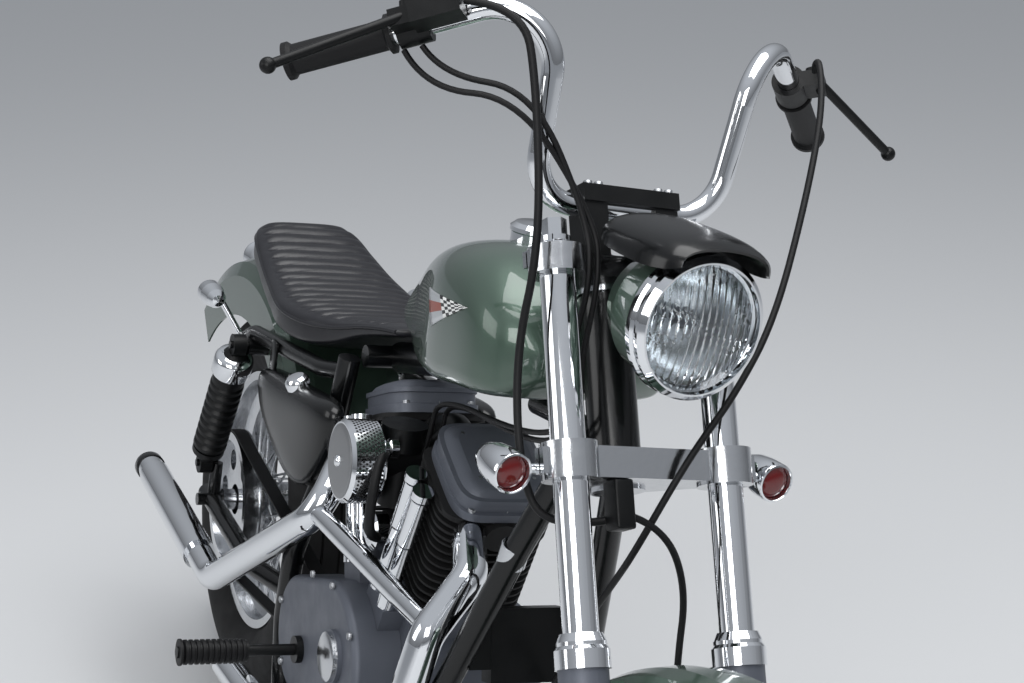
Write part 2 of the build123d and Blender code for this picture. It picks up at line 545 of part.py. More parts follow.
nodes["primary_cover"] = primary

for word, lean in (("front", HALF_V), ("rear", -HALF_V)):
    cylinder = Pos(0, 0, (DECK + GAP + HEAD_TOP) / 2) * Cylinder(54, HEAD_TOP - DECK - GAP)
    z = DECK + 12
    while z < BARREL_TOP - 6:
        cylinder += Pos(0, 0, z) * extrude(RectangleRounded(FIN_LONG, FIN_WIDE, 30), 3.5)
        z += 12.5
    z = BARREL_TOP + 2
    while z < HEAD_TOP - 5:
        cylinder += Pos(0, 0, z) * extrude(RectangleRounded(FIN_LONG + 4, FIN_WIDE + 6, 34), 4)
        z += 11
    cylinder += Pos(0, 0, HEAD_TOP - 6 - GAP) * extrude(RectangleRounded(FIN_LONG, FIN_WIDE, 20), 6)
    for side in (1, -1):
        port = Pos(side * 40, 0, BARREL_TOP + 22) * Rot(Y=90) * Cylinder(22, 80)
        cylinder += port
    nodes["cylinder_" + word] = bank(lean) * cylinder
    top = ROCKER_TOP - HEAD_TOP
    rocker = Pos(0, 0, HEAD_TOP) * extrude(RectangleRounded(150, 188, 26), top * 0.28)
    rocker += Pos(0, 0, HEAD_TOP + top * 0.28) * extrude(RectangleRounded(142, 180, 26), top * 0.34)
    rocker += Pos(0, 0, HEAD_TOP + top * 0.62) * extrude(RectangleRounded(148, 186, 26), top * 0.14)
    rocker += Pos(0, 0, HEAD_TOP + top * 0.76) * extrude(RectangleRounded(138, 172, 30), top * 0.24, taper=30)
    nodes["rocker_box_" + word] = bank(lean) * rocker

pushrods = []
for lean in (HALF_V, -HALF_V):
    for x in (-17, 17):
        rod_solid = turned([(0, 146 + GAP), (14, 146 + GAP), (14, 170), (10.5, 174), (10.5, 252), (12, 256),
                            (12, 330), (14, 334), (14, HEAD_TOP - GAP), (0, HEAD_TOP - GAP)])
        pushrods.append(bank(lean) * Pos(x, -92.8, 0) * rod_solid)
nodes["pushrod_tubes"] = Compound(children=pushrods)

# Carburettor between the heads, with its air cleaner outboard
CARB_Z = 645.0
carb = rod((CRANK_X, -8, CARB_Z), (CRANK_X, -108, CARB_Z), 54)
carb += rod((CRANK_X, -72, CARB_Z - 64), (CRANK_X, -72, CARB_Z + 20), 50)
carb += rod((CRANK_X, -72, CARB_Z + 14), (CRANK_X, -72, CARB_Z + 46), 62)
manifold_ends = [tuple((bank(lean) * Pos(side * (80 + GAP), 0, BARREL_TOP + 22)).position)
                 for lean, side in ((-HALF_V, 1), (HALF_V, -1))]
carb += tube([manifold_ends[0], (CRANK_X, 0, manifold_ends[0][2] + 20.3), manifold_ends[1]], 38, [25])
carb += rod((CRANK_X, 0, manifold_ends[0][2] + 14), (CRANK_X, -34, CARB_Z), 34)
nodes["carburetor"] = carb
nodes["air_cleaner"] = Location((CRANK_X, -108 - GAP, CARB_Z - 6)) * Rot(X=90) * turned([
    (0, 0), (52, 0), (55, 3), (55, 42), (51, 47), (0, 47)])
nodes["breather"] = Location((705, -FIN_WIDE / 2 - GAP, 538)) * Rot(X=90) * turned([
    (0, 0), (24, 0), (26, 3), (26, 20), (20, 24), (10, 24), (10, 29), (0, 29)])

# Exhaust
PORT_R = BARREL_TOP + 22
FRONT_PIPE = [(906.0, -42.0, 609.0), (975.0, -62.0, 585.0), (1000.0, -118.0, 520.0), (992.0, -150.0, 340.0),
              (850.0, -160.0, 215.0), (380.0, -176.0, 200.0)]
REAR_PIPE = [(530.0, -79.0, 604.0), (612.0, -140.0, 528.0), (288.0, -185.0, 300.0), (150.0, -185.0, 305.0)]
front_bends, rear_bends = [30, 40, 90, 90], [42, 60]
front_exhaust = tube(FRONT_PIPE, HEADER_D, front_bends)
front_exhaust -= rod((500, -170.9, 206.3), (379, -176, 200), HEADER_D - 4)
nodes["exhaust_front"] = front_exhaust
rear_exhaust = tube(REAR_PIPE, HEADER_D - 2, rear_bends)
rear_exhaust += rod((200, -185, 303.2), (-130, -185, 315.1), MUFFLER_D)
rear_exhaust += rod((-130, -185, 315.1), (-172, -185, 316.6), MUFFLER_D - 6)
rear_exhaust -= rod((60, -185, 308.2), (-180, -185, 316.9), MUFFLER_D - 12)
rear_exhaust += rod((604, -136, 522), (994, -118, 530), CROSSOVER_D)
rear_exhaust -= tube(FRONT_PIPE, HEADER_D + 2 * GAP, front_bends)
nodes["exhaust_rear"] = rear_exhaust
for word in ("front", "rear"):
    nodes["cylinder_" + word] -= tube(FRONT_PIPE if word == "front" else REAR_PIPE, HEADER_D + 2 * GAP,
                                      front_bends if word == "front" else rear_bends)

# Oil tank on the right and battery cover on the left
side_outline = Polyline((200, 614), (420, 646), (548, 666), (580, 660), (470, 512), (400, 506), (230, 556), close=True)
oil = slab(make_face(side_outline), -136, -RAIL_Y + 2)
oil = fillet(oil.edges().group_by(Axis.Y)[0], 8)
for x in (250.0, 380.0):
    share = (410 - x) / (410 - 120)
    rail_y, rail_z = 92 + share * (RAIL_Y - 92), 672 + share * (640 - 672)
    oil += Pos(x, -rail_y - 12.5 - 2 * GAP - 3, rail_z - 18) * Box(24, 6, 52)
nodes["oil_tank"] = oil
nodes["battery_cover"] = mirror(oil, about=Plane.XZ)

# Tank and seat from sections
def section_face(s, flat, shoulder):
    """A closed section at one x: flat bottom, bulging sides and a domed top."""
    plane = Plane(origin=(s.x, 0, 0), x_dir=(0, 1, 0), z_dir=(1, 0, 0))
    mid = s.low + (s.high - s.low) * 0.4
    neck_z = s.low + (s.high - s.low) * shoulder
    foot = s.half * flat
    edges = [Line((-foot, s.low), (foot, s.low)),
             ThreePointArc((foot, s.low), (s.half, mid), (s.half * 0.84, neck_z)),
             ThreePointArc((s.half * 0.84, neck_z), (0, s.high), (-s.half * 0.84, neck_z)),
             ThreePointArc((-s.half * 0.84, neck_z), (-s.half, mid), (-foot, s.low))]
    return plane * make_face(Wire(edges))


tank = loft([section_face(s, 0.86, 0.72) for s in TANK])
tank -= rod(backbone_front, BACKBONE_END, 44 + 14)
tank -= rod(tuple(Vector(*backbone_front) - Vector(0, 0, 30)), tuple(Vector(*BACKBONE_END) - Vector(0, 0, 30)), 44 + 14)
def on_backbone(x):
    """Height of the backbone's axis at x."""
    share = (x - BACKBONE_END[0]) / (backbone_front[0] - BACKBONE_END[0])
    return BACKBONE_END[2] + share * (backbone_front[2] - BACKBONE_END[2])


for x in (660.0, 920.0):
    pad = Pos(x, 0, on_backbone(x) + 24) * Box(30, 30, 34)
    tank += pad - rod(backbone_front, BACKBONE_END, 44 + 2 * GAP)
CAP_X, CAP_Z = 880.0, 977.0
tank -= Pos(CAP_X, 0, CAP_Z + 20) * Cylinder(30 + GAP, 40)
nodes["fuel_tank"] = tank
nodes["fuel_cap"] = Location((CAP_X, 0, CAP_Z + GAP)) * turned([(0, 0), (30, 0), (30, 15), (32, 17), (32, 22), (26, 27), (0, 29)])
nodes["seat"] = loft([section_face(s, 0.9, 0.6) for s in SEAT])

# Rear fender with its light and signals
nodes["rear_fender"] = rear_axle * fender_shell(FENDER_R, FENDER_HALF, FENDER_T, 98, -138, 104)
nodes["taillight"] = rear_axle * Rot(Z=-128) * Pos(FENDER_R + GAP + 33, 0, 0) * Box(66, 44, 60)
rear_signals = []
for side in (1, -1):
    pod = turned([(0, -20), (SIGNAL_D / 2, -14), (SIGNAL_D / 2, 6), (15, 30), (9, 44), (0, 46)])
    stalk = rod((88, side * (RAIL_Y + 12.5 + GAP), 624), (64, side * 160, 680), 10)
    stalk -= rod((120, side * RAIL_Y, 640), (60, side * RAIL_Y, 610), 25 + 2 * GAP)
    rear_signals.append(Location((60, side * 172, 684)) * Rot(Y=90) * pod + stalk)
nodes["rear_signals"] = Compound(children=rear_signals)

# Foot controls
for word, side in (("left", 1), ("right", -1)):
    root = (PRIMARY_FACE + 7 if side > 0 else -CAM_FACE) + GAP
    controls = rod((594, side * root, 319), (594, side * 312, 319), 16)
    controls += rod((594, side * root, 319), (594, side * (root + 9), 319), 38)
    controls += rod((594, side * 214, 319), (594, side * 308, 319), 30)
    nodes["foot_controls_" + word] = controls

belt_out = two_rounds((0, REAR.radius), PULLEY_R + 3.8, SPROCKET, SPROCKET_R + 3.8)
belt_in = two_rounds((0, REAR.radius), PULLEY_R + 0.8, SPROCKET, SPROCKET_R + 0.8)
belt = slab(belt_out - belt_in, PULLEY_Y - BELT_W / 2, PULLEY_Y + BELT_W / 2)
nodes["drive_belt"] = belt
regulator = Location((1022, 0, 514)) * Rot(Y=-18) * (Box(30, 96, 90) + Pos(12, 0, 0) * Box(5, 150, 56))
down_tube = [down_top, (1088, 56, 665), DOWN_MID, (958, RAIL_Y, RAIL_Z), (540, RAIL_Y, RAIL_Z)]
regulator -= tube(down_tube, FRAME_D + 2 * GAP, [120, 120, 70])
regulator -= tube([mirrored(p) for p in down_tube], FRAME_D + 2 * GAP, [120, 120, 70])
nodes["regulator"] = regulator

# Side stand, laid out on the ground plane after the lean
# Place: lean, then settle both tyres on the ground
def leaned(location):
    return Rot(X=-LEAN) * location


def contact_height(w, spin_axis):
    """Height of a tilted wheel's centre when its rounded crown touches the ground."""
    tilt = math.asin(abs(spin_axis.Z))
    return (w.radius - crown_radius(w)) * math.cos(tilt) + crown_radius(w)


front_centre = (Rot(X=-LEAN) * FORK * Pos(FORK_OFFSET, 0, 0)).position
rear_centre = (Rot(X=-LEAN) * REAR_AXLE).position
front_spin = ((Rot(X=-LEAN) * FORK * Pos(0, 1, 0)).position - (Rot(X=-LEAN) * FORK).position)
rear_spin = ((Rot(X=-LEAN) * Pos(0, 1, 0)).position - (Rot(X=-LEAN) * Pos(0, 0, 0)).position)
rise = front_centre.Z - rear_centre.Z
drop = contact_height(FRONT, front_spin) - contact_height(REAR, rear_spin)
reach = front_centre.X - rear_centre.X
pitch_angle = math.degrees(math.acos(drop / math.hypot(rise, reach)) - math.atan2(reach, rise))
level = Rot(Y=pitch_angle) * Rot(X=-LEAN)
lift = contact_height(REAR, rear_spin) - (level * REAR_AXLE).position.Z
STANCE = Pos(0, 0, lift) * level

STAND_PIVOT = (650.0, 150.0, RAIL_Z)
stand_pivot = (STANCE * Pos(*STAND_PIVOT)).position
STAND_FOOT = (stand_pivot.X + 60, stand_pivot.Y + 85, 0)
foot_top = Vector(STAND_FOOT[0], STAND_FOOT[1], 10)
leg = rod(tuple(stand_pivot), tuple(foot_top), 17)
foot = Pos(STAND_FOOT[0], STAND_FOOT[1], 4) * extrude(RectangleRounded(64, 44, 10), 8, both=False).moved(
    Location((0, 0, -4)))
down_dir = (foot_top - stand_pivot).normalized()
stowed_dir = Vector(-1, 0.12, 0.06).normalized()
fold_axis = stowed_dir.cross(down_dir).normalized()
eye = Plane(origin=tuple(stand_pivot), z_dir=tuple(fold_axis)) * Cylinder(17, 18)
eye_hole = Plane(origin=tuple(stand_pivot), z_dir=tuple(fold_axis)) * Cylinder(7, 60)
stand = (leg + foot + eye) - eye_hole
to_rail = -1 if fold_axis.Y > 0 else 1
stand_pin = Plane(origin=tuple(stand_pivot), z_dir=tuple(fold_axis)) * (
    Pos(0, 0, to_rail * 10) * Cylinder(7 - RUN_GAP, 42) + Pos(0, 0, to_rail * (9 + GAP + 16)) * Cylinder(13, 32))

def as_solids(shape):
    """One solid, or one compound of the shape's separate solids."""
    solids = shape.solids() if hasattr(shape, "solids") else [s for part in shape for s in part.solids()]
    return solids[0] if len(solids) == 1 else Compound(list(solids))


placed = {name: STANCE * as_solids(shape) for name, shape in nodes.items()}
placed["side_stand"] = stand
placed["frame_cradle_left"] = placed["frame_cradle_left"] + stand_pin

box = Compound(children=list(placed.values())).bounding_box()
ORIGIN = Vector((box.min.X + box.max.X) / 2, (box.min.Y + box.max.Y) / 2, box.min.Z)
TO_ORIGIN = Pos(*(-ORIGIN))
placed = {name: TO_ORIGIN * shape for name, shape in placed.items()}
print("box", box.size, "min z", round(box.min.Z, 3), "pitch", round(pitch_angle, 3), "origin", ORIGIN)

if __name__ == "__main__":
    for name, shape in placed.items():
        shape = as_solids(shape)
        print(name, len(shape.solids()), round(shape.volume), shape.is_valid)
        export_step(shape, f"parts/{name}.step")
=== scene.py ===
# Finishes, soft parts and fittings of a custom V-twin motorcycle that leans on its side stand.
# The frame and the stage are in metres. Tables and profiles are in millimetres, and BIKE_MM,
# FORK_MM, LEVEL or LAMP places them. The bike's frame has x forward, y left and z up, with its
# origin on the ground under the rear axle. The fork's frame has z up the steering axis and x
# ahead of it.
import json
import math

import bmesh
import bpy
from bpy.props import FloatProperty, FloatVectorProperty, PointerProperty, StringProperty
from mathutils import Matrix, Vector
from mathutils.bvhtree import BVHTree


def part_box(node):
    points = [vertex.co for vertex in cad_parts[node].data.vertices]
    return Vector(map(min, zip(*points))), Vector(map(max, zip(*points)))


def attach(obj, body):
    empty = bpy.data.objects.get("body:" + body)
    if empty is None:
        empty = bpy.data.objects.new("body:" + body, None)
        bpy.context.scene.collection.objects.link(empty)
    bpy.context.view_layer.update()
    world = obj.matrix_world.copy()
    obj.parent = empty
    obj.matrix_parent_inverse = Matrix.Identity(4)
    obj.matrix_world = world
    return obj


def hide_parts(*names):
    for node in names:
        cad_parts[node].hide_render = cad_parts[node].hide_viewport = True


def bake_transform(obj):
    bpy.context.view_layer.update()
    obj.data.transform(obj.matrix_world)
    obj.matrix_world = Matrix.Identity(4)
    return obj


bl_info = {
    "name": "Custom V-twin finish",
    "version": (1, 0, 0),
    "blender": (4, 5, 0),
    "location": "View3D > Sidebar > V-twin",
    "description": "Finishes and soft parts for a leaning V-twin motorcycle",
    "category": "Object",
}

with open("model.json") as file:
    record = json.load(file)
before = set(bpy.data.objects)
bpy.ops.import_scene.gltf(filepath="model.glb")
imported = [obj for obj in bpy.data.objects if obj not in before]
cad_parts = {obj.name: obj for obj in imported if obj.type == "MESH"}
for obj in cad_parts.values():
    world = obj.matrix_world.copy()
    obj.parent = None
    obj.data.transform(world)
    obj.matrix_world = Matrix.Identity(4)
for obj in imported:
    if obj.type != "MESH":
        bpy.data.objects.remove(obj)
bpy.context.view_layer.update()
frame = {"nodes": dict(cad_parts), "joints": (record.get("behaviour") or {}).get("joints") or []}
NODES = frame["nodes"]
JOINTS = {joint["name"]: joint for joint in frame["joints"]}

MM = 0.001  # a millimetre, in metres
REAR_RADIUS = 0.320  # of each wheel over its tyre
FRONT_RADIUS = 0.331
FORK_OFFSET = 0.0625  # from the steering axis ahead to the fork tubes and the axle
RAKE = 29.6  # degrees from upright back to the steering axis


def axle(name):
    """The centre and leftward direction of a wheel's spin joint."""
    joint = JOINTS[name]
    return Vector(joint["pos_m"]), Vector(joint["axis"]).normalized()


def axes_matrix(x, y, z, origin):
    """A place with these axes."""
    matrix = Matrix((x, y, z)).transposed().to_4x4()
    matrix.translation = origin
    return matrix


def bike_frame():
    """The upright bike's frame, leaned as the bike stands."""
    rear, left = axle("rear_wheel_spin")
    front, _ = axle("front_wheel_spin")
    run = front - rear
    run -= left * run.dot(left)
    nose = math.asin((FRONT_RADIUS - REAR_RADIUS) / run.length)
    forward = Matrix.Rotation(nose, 3, left) @ run.normalized()
    up = forward.cross(left)
    return axes_matrix(forward, left, up, rear - up * REAR_RADIUS)


def fork_frame():
    """The fork's frame, as the bars are parked, its origin level with the front axle."""
    centre, left = axle("front_wheel_spin")
    up = Vector(JOINTS["steering"]["axis"]).normalized()
    ahead = left.cross(up)
    return axes_matrix(ahead, left, up, centre - ahead * FORK_OFFSET)


def at(place, degrees=0.0, axis="X"):
    """A place with a turn about one axis there."""
    return Matrix.Translation(place) @ Matrix.Rotation(math.radians(degrees), 4, axis)


def along(place, direction):
    """A place whose z runs in a direction."""
    return Matrix.Translation(place) @ direction.to_track_quat("Z", "Y").to_matrix().to_4x4()


BIKE_MM = bike_frame() @ Matrix.Scale(MM, 4)
FORK_MM = fork_frame() @ Matrix.Scale(MM, 4)
STRAIGHT_MM = BIKE_MM @ at((1475.66, 0, 300.1), -RAKE, "Y")  # the fork's frame, bars straight
LEVEL = FORK_MM @ at((167.5, 0, 698), RAKE, "Y")  # the headlight's, x ahead and z up
LAMP = LEVEL @ at((0, 0, 0), 90, "Y")  # the headlight's, z ahead


# Shapes, drawn in millimetres in one of the frames above

def piece_of(mesh, name, materials, body):
    """A mesh as a piece. One given no body rides on none."""
    for material in materials:
        mesh.materials.append(material)
    piece = bpy.data.objects.new(name, mesh)
    bpy.context.scene.collection.objects.link(piece)
    if body:
        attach(piece, body)
    return piece


def finished(shape, name, matrix, materials, body, sharp=40.0):
    """A shape as a piece with its place in its mesh, riding on a body."""
    bmesh.ops.transform(shape, matrix=matrix, verts=shape.verts)
    mesh = bpy.data.meshes.new(name)
    shape.to_mesh(mesh)
    shape.free()
    mesh.shade_smooth()
    mesh.set_sharp_from_angle(angle=math.radians(sharp))
    return piece_of(mesh, name, materials, body)


def turned(forms, steps=64):
    """A shape of forms turned about Z, one for each matrix and its (radius, height) points."""
    shape = bmesh.new()
    for matrix, profile in forms:
        earlier = set(shape.verts)
        verts = [shape.verts.new((radius, 0, height)) for radius, height in profile]
        edges = [shape.edges.new(pair) for pair in zip(verts, verts[1:])]
        bmesh.ops.spin(shape, geom=verts + edges, axis=(0, 0, 1), cent=(0, 0, 0),
                       angle=math.tau, steps=steps, use_merge=True)
        made = [vert for vert in shape.verts if vert not in earlier]
        bmesh.ops.remove_doubles(shape, verts=made, dist=0.0005)
        made = [vert for vert in shape.verts if vert not in earlier]
        bmesh.ops.transform(shape, matrix=matrix, verts=made)
    bmesh.ops.recalc_face_normals(shape, faces=shape.faces)
    return shape


def blocks(boxes, offset, segments):
    """A shape of bevelled blocks, one for each matrix and size."""
    shape = bmesh.new()
    for matrix, size in boxes:
        bmesh.ops.create_cube(shape, size=1.0, matrix=matrix @ Matrix.Diagonal((*size, 1)))
    bmesh.ops.bevel(shape, geom=shape.edges, offset=offset, affect="EDGES", segments=segments,
                    profile=0.5, material=-1)
    return shape


def skinned(rings):
    """A closed skin bridged over rings with the same number of points each."""
    shape = bmesh.new()
    loops = []
    for ring in rings:
        before = set(shape.edges)
        circle = bmesh.ops.create_circle(shape, segments=len(ring), radius=1.0)["verts"]
        for vert, place in zip(circle, ring):
            vert.co = place
        loops.append([edge for edge in shape.edges if edge not in before])
    for low, high in zip(loops, loops[1:]):
        bmesh.ops.bridge_loops(shape, edges=low + high)
    bmesh.ops.holes_fill(shape, edges=shape.edges, sides=0)
    bmesh.ops.recalc_face_normals(shape, faces=shape.faces)
    return shape


def rounded(value, power):
    """A sine or cosine pressed flatter, with its sign kept."""
    return math.copysign(abs(value) ** power, value)


def ring_at(x, half, low, high, edge_share, side, crown, floor, count=64):
    """A closed section at one x, widest at edge_share of its height.

    The smaller side, crown and floor are, the squarer are its sides, its top and its bottom.
    """
    edge = low + edge_share * (high - low)
    ring = []
    for i in range(count):
        t = math.tau * i / count
        rise = rounded(math.sin(t), crown if math.sin(t) > 0 else floor)
        z = edge + rise * ((high - edge) if rise > 0 else (edge - low))
        ring.append(Vector((x, half * rounded(math.cos(t), side), z)))
    return ring


def smooth_rows(rows, step):
    """Rows that start with a place along the bike, with smooth ones every step between them."""
    made = []
    for i in range(len(rows) - 1):
        before, a, b = rows[max(i - 1, 0)], rows[i], rows[i + 1]
        after = rows[min(i + 2, len(rows) - 1)]
        count = max(1, round((b[0] - a[0]) / step))
        for k in range(count):
            t = k / count
            made.append([0.5 * (2 * q + (r - p) * t + (2 * p - 5 * q + 4 * r - s) * t ** 2
                                + (3 * q - p - 3 * r + s) * t ** 3)
                         for p, q, r, s in zip(before, a, b, after)])
    made.append(list(rows[-1]))
    return made


def hose(name, route, diameter, matrix, material, body):
    """A cable, hose or piping along a smooth route."""
    curve = bpy.data.curves.new(name, "CURVE")
    curve.dimensions = "3D"
    curve.bevel_depth = diameter / 2 * MM
    curve.bevel_resolution = 3
    curve.resolution_u = 10
    curve.use_fill_caps = True
    spline = curve.splines.new("NURBS")
    spline.points.add(len(route) - 1)
    for point, place in zip(spline.points, route):
        point.co = (*(matrix @ Vector(place)), 1.0)
    spline.order_u = 3
    spline.use_endpoint_u = True
    holder = bpy.data.objects.new(name, curve)
    mesh = bpy.data.meshes.new_from_object(holder)
    bpy.data.objects.remove(holder)
    bpy.data.curves.remove(curve)
    mesh.name = name
    mesh.shade_smooth()
    return piece_of(mesh, name, [material], body)


# Nodes of a material

def linear(colour):
    """A written sRGB hex colour as Blender's linear one."""
    channels = [int(colour[i:i + 2], 16) / 255 for i in (1, 3, 5)]
    return [c / 12.92 if c <= 0.04045 else ((c + 0.055) / 1.055) ** 2.4 for c in channels] + [1.0]


def add(owner, kind, inputs=None, **settings):
    """Adds a shader node with its settings to a material or world, and sets or links inputs."""
    node = owner.node_tree.nodes.new("ShaderNode" + kind)
    for name, value in settings.items():
        setattr(node, name, value)
    for name, value in (inputs or {}).items():
        if isinstance(value, bpy.types.NodeSocket):
            owner.node_tree.links.new(value, node.inputs[name])
        else:
            node.inputs[name].default_value = value
    return node


def empty_material(name):
    """A node material with nothing in it yet."""
    material = bpy.data.materials.new(name)
    material.use_nodes = True
    material.node_tree.nodes.clear()
    return material


def surface(material, inputs):
    """Ends a material in a Principled shader with these inputs."""
    shader = add(material, "BsdfPrincipled", inputs)
    add(material, "OutputMaterial", {"Surface": shader.outputs["BSDF"]})
    return material


def grain(material, scale, strength, distance):
    """A fine bump over the surface, as its normal."""
    place = add(material, "TexCoord")
    noise = add(material, "TexNoise", {"Vector": place.outputs["Object"], "Scale": scale,
                                       "Detail": 3.0})
    bump = add(material, "Bump", {"Height": noise.outputs["Fac"], "Strength": strength,
                                  "Distance": distance})
    return bump.outputs["Normal"]


def varied(material, scale, low, high):
    """A number that wanders between two values over the surface."""
    place = add(material, "TexCoord")
    noise = add(material, "TexNoise", {"Vector": place.outputs["Object"], "Scale": scale,
                                       "Detail": 4.0})
    spread = add(material, "MapRange", {"Value": noise.outputs["Fac"], "From Min": 0.3,
                                        "From Max": 0.7, "To Min": low, "To Max": high})
    return spread.outputs["Result"]


# Materials

def plain(name, colour, **inputs):
    """The finish of one small fitting: one colour with a fine grain."""
    material = empty_material(name)
    values = {"Base Color": linear(colour), "Normal": grain(material, 300.0, 0.1, 0.0004)}
    values.update(inputs)
    return surface(material, values)


def chrome_plate():
    """Decorative chromium over nickel on steel, polished: a mirror with a faint wipe haze."""
    material = empty_material("Chrome_plate_polished")
    return surface(material, {"Base Color": linear("#E6E8EB"), "Metallic": 1.0,
                              "Roughness": varied(material, 9.0, 0.03, 0.09)})


def sage_enamel(colour):
    """Metallic enamel, sprayed over silver and cleared: fine flakes under a deep gloss coat."""
    material = empty_material("Sage_metallic_enamel")
    place = add(material, "TexCoord")
    flakes = add(material, "TexVoronoi", {"Vector": place.outputs["Object"], "Scale": 1400.0})
    tilt = add(material, "Bump", {"Height": flakes.outputs["Distance"], "Strength": 0.12,
                                  "Distance": 0.0004})
    return surface(material, {"Base Color": linear(colour), "Metallic": 0.55, "Roughness": 0.38,
                              "Coat Weight": 1.0, "Coat Roughness": 0.03,
                              "Normal": tilt.outputs["Normal"]})


def powder_grey():
    """Silver-grey powder coat on cast aluminium: a dry, finely pebbled skin."""
    material = empty_material("Grey_powder_coat")
    return surface(material, {"Base Color": linear("#595D66"), "Metallic": 0.35,
                              "Roughness": varied(material, 30.0, 0.42, 0.58),
                              "Normal": grain(material, 900.0, 0.35, 0.0006)})


def cast_aluminium():
    """Buffed cast aluminium: a soft metal shine with shallow casting waves."""
    material = empty_material("Buffed_cast_aluminium")
    return surface(material, {"Base Color": linear("#C9CBCE"), "Metallic": 1.0,
                              "Roughness": varied(material, 60.0, 0.12, 0.22),
                              "Normal": grain(material, 140.0, 0.12, 0.0012)})


def black_enamel():
    """Black stoving enamel on steel tube: a deep black gloss with slight orange peel."""
    material = empty_material("Black_gloss_enamel")
    return surface(material, {"Base Color": linear("#060708"), "Roughness": 0.26,
                              "Specular IOR Level": 0.32, "Coat Weight": 0.2,
                              "Coat Roughness": 0.06,
                              "Normal": grain(material, 220.0, 0.08, 0.0006)})


def satin_black():
    """Satin black paint on castings: dark, with a broad soft highlight."""
    material = empty_material("Satin_black_paint")
    return surface(material, {"Base Color": linear("#08090A"),
                              "Roughness": varied(material, 40.0, 0.34, 0.46),
                              "Specular IOR Level": 0.25,
                              "Normal": grain(material, 600.0, 0.2, 0.0006)})


def cylinder_iron():
    """Black heat paint on finned iron: dry and rough."""
    material = empty_material("Black_heat_paint")
    return surface(material, {"Base Color": linear("#111112"), "Roughness": 0.68,
                              "Specular IOR Level": 0.35,
                              "Normal": grain(material, 700.0, 0.4, 0.0008)})


def tyre_rubber():
    """Vulcanised tyre rubber: matt black, a little dusty."""
    material = empty_material("Tyre_rubber")
    return surface(material, {"Base Color": linear("#151516"),
                              "Roughness": varied(material, 25.0, 0.72, 0.9),
                              "Specular IOR Level": 0.4,
                              "Normal": grain(material, 500.0, 0.3, 0.0008)})


def moulded_rubber():
    """Moulded black rubber: soft sheen, no shine."""
    material = empty_material("Moulded_rubber")
    return surface(material, {"Base Color": linear("#08080A"), "Roughness": 0.55,
                              "Specular IOR Level": 0.3,
                              "Normal": grain(material, 420.0, 0.25, 0.0006)})


def seat_vinyl():
    """Black upholstery vinyl with a pressed leather grain of about 2 mm."""
    material = empty_material("Seat_vinyl_grained")
    place = add(material, "TexCoord")
    cells = add(material, "TexVoronoi", {"Vector": place.outputs["Object"], "Scale": 480.0},
                feature="DISTANCE_TO_EDGE")
    press = add(material, "Bump", {"Height": cells.outputs["Distance"], "Strength": 0.25,
                                   "Distance": 0.0006})
    return surface(material, {"Base Color": linear("#15151A"),
                              "Roughness": varied(material, 18.0, 0.3, 0.4),
                              "Normal": press.outputs["Normal"]})


def lens_glass():
    """Clear pressed soda glass."""
    material = empty_material("Pressed_lamp_glass")
    return surface(material, {"Base Color": linear("#F4F8FA"), "Roughness": 0.02, "IOR": 1.52,
                              "Transmission Weight": 1.0})


def mirror_coat():
    """Vacuum-aluminised reflector bowl: softer than chrome."""
    material = empty_material("Aluminised_reflector")
    return surface(material, {"Base Color": linear("#DADDE0"), "Metallic": 1.0,
                              "Roughness": varied(material, 30.0, 0.16, 0.26)})


def screw_steel():
    """Plated steel screw heads, dulled by weather."""
    material = empty_material("Plated_screw_steel")
    return surface(material, {"Base Color": linear("#A9ABAE"), "Metallic": 1.0,
                              "Roughness": varied(material, 200.0, 0.3, 0.5)})


def red_lens():
    """Moulded red acrylic over a bright cup: a deep red with a wet gloss and a fine ripple."""
    material = empty_material("Red_acrylic_lens")
    return surface(material, {"Base Color": linear("#5E0A0A"), "Roughness": 0.14,
                              "Coat Weight": 0.6, "Coat Roughness": 0.03,
                              "Normal": grain(material, 260.0, 0.12, 0.0004)})


MADE = {}


def shared(maker, *colours):
    """What a material's maker gives, made on its first use and then shared by the pieces."""
    key = (maker, *colours)
    if key not in MADE:
        MADE[key] = maker(*colours)
    return MADE[key]


# The finish of each carried-over node, apart from the enamelled ones
FINISHES = {
    chrome_plate: ("handlebar", "fork_tubes", "dust_covers", "headlight_rim", "front_signals",
                   "rear_signals", "taillight", "exhaust_front", "exhaust_rear", "air_cleaner",
                   "pushrod_tubes", "fuel_cap", "breather"),
    cast_aluminium: ("upper_clamp", "lower_clamp", "front_wheel", "rear_wheel"),
    powder_grey: ("crankcase", "cam_cover", "primary_cover", "rocker_box_front",
                  "rocker_box_rear", "fork_sliders", "front_caliper"),
    cylinder_iron: ("cylinder_front", "cylinder_rear"),
    black_enamel: ("frame_neck", "frame_cradle_left", "frame_cradle_right", "frame_rear_left",
                   "frame_rear_right", "swingarm", "oil_tank", "battery_cover", "side_stand"),
    satin_black: ("bar_clamp", "brake_lever_set", "clutch_lever_set", "headlight_visor",
                  "regulator", "carburetor", "shock_left", "shock_right", "foot_controls_left",
                  "foot_controls_right"),
    moulded_rubber: ("grips", "drive_belt"),
    tyre_rubber: ("front_tyre", "rear_tyre"),
    seat_vinyl: ("seat",),
    lens_glass: ("headlight_lens",),
}
ENAMELLED = ("fuel_tank", "front_fender", "rear_fender", "headlight_bucket")


# Tables. Profiles are (radius, height) points, turned about Z.
SCREW = [(0, 4.6), (2.6, 4.6), (2.6, 3.2), (4.6, 4.4), (5.2, 3.6), (5.2, 0), (0, 0)]

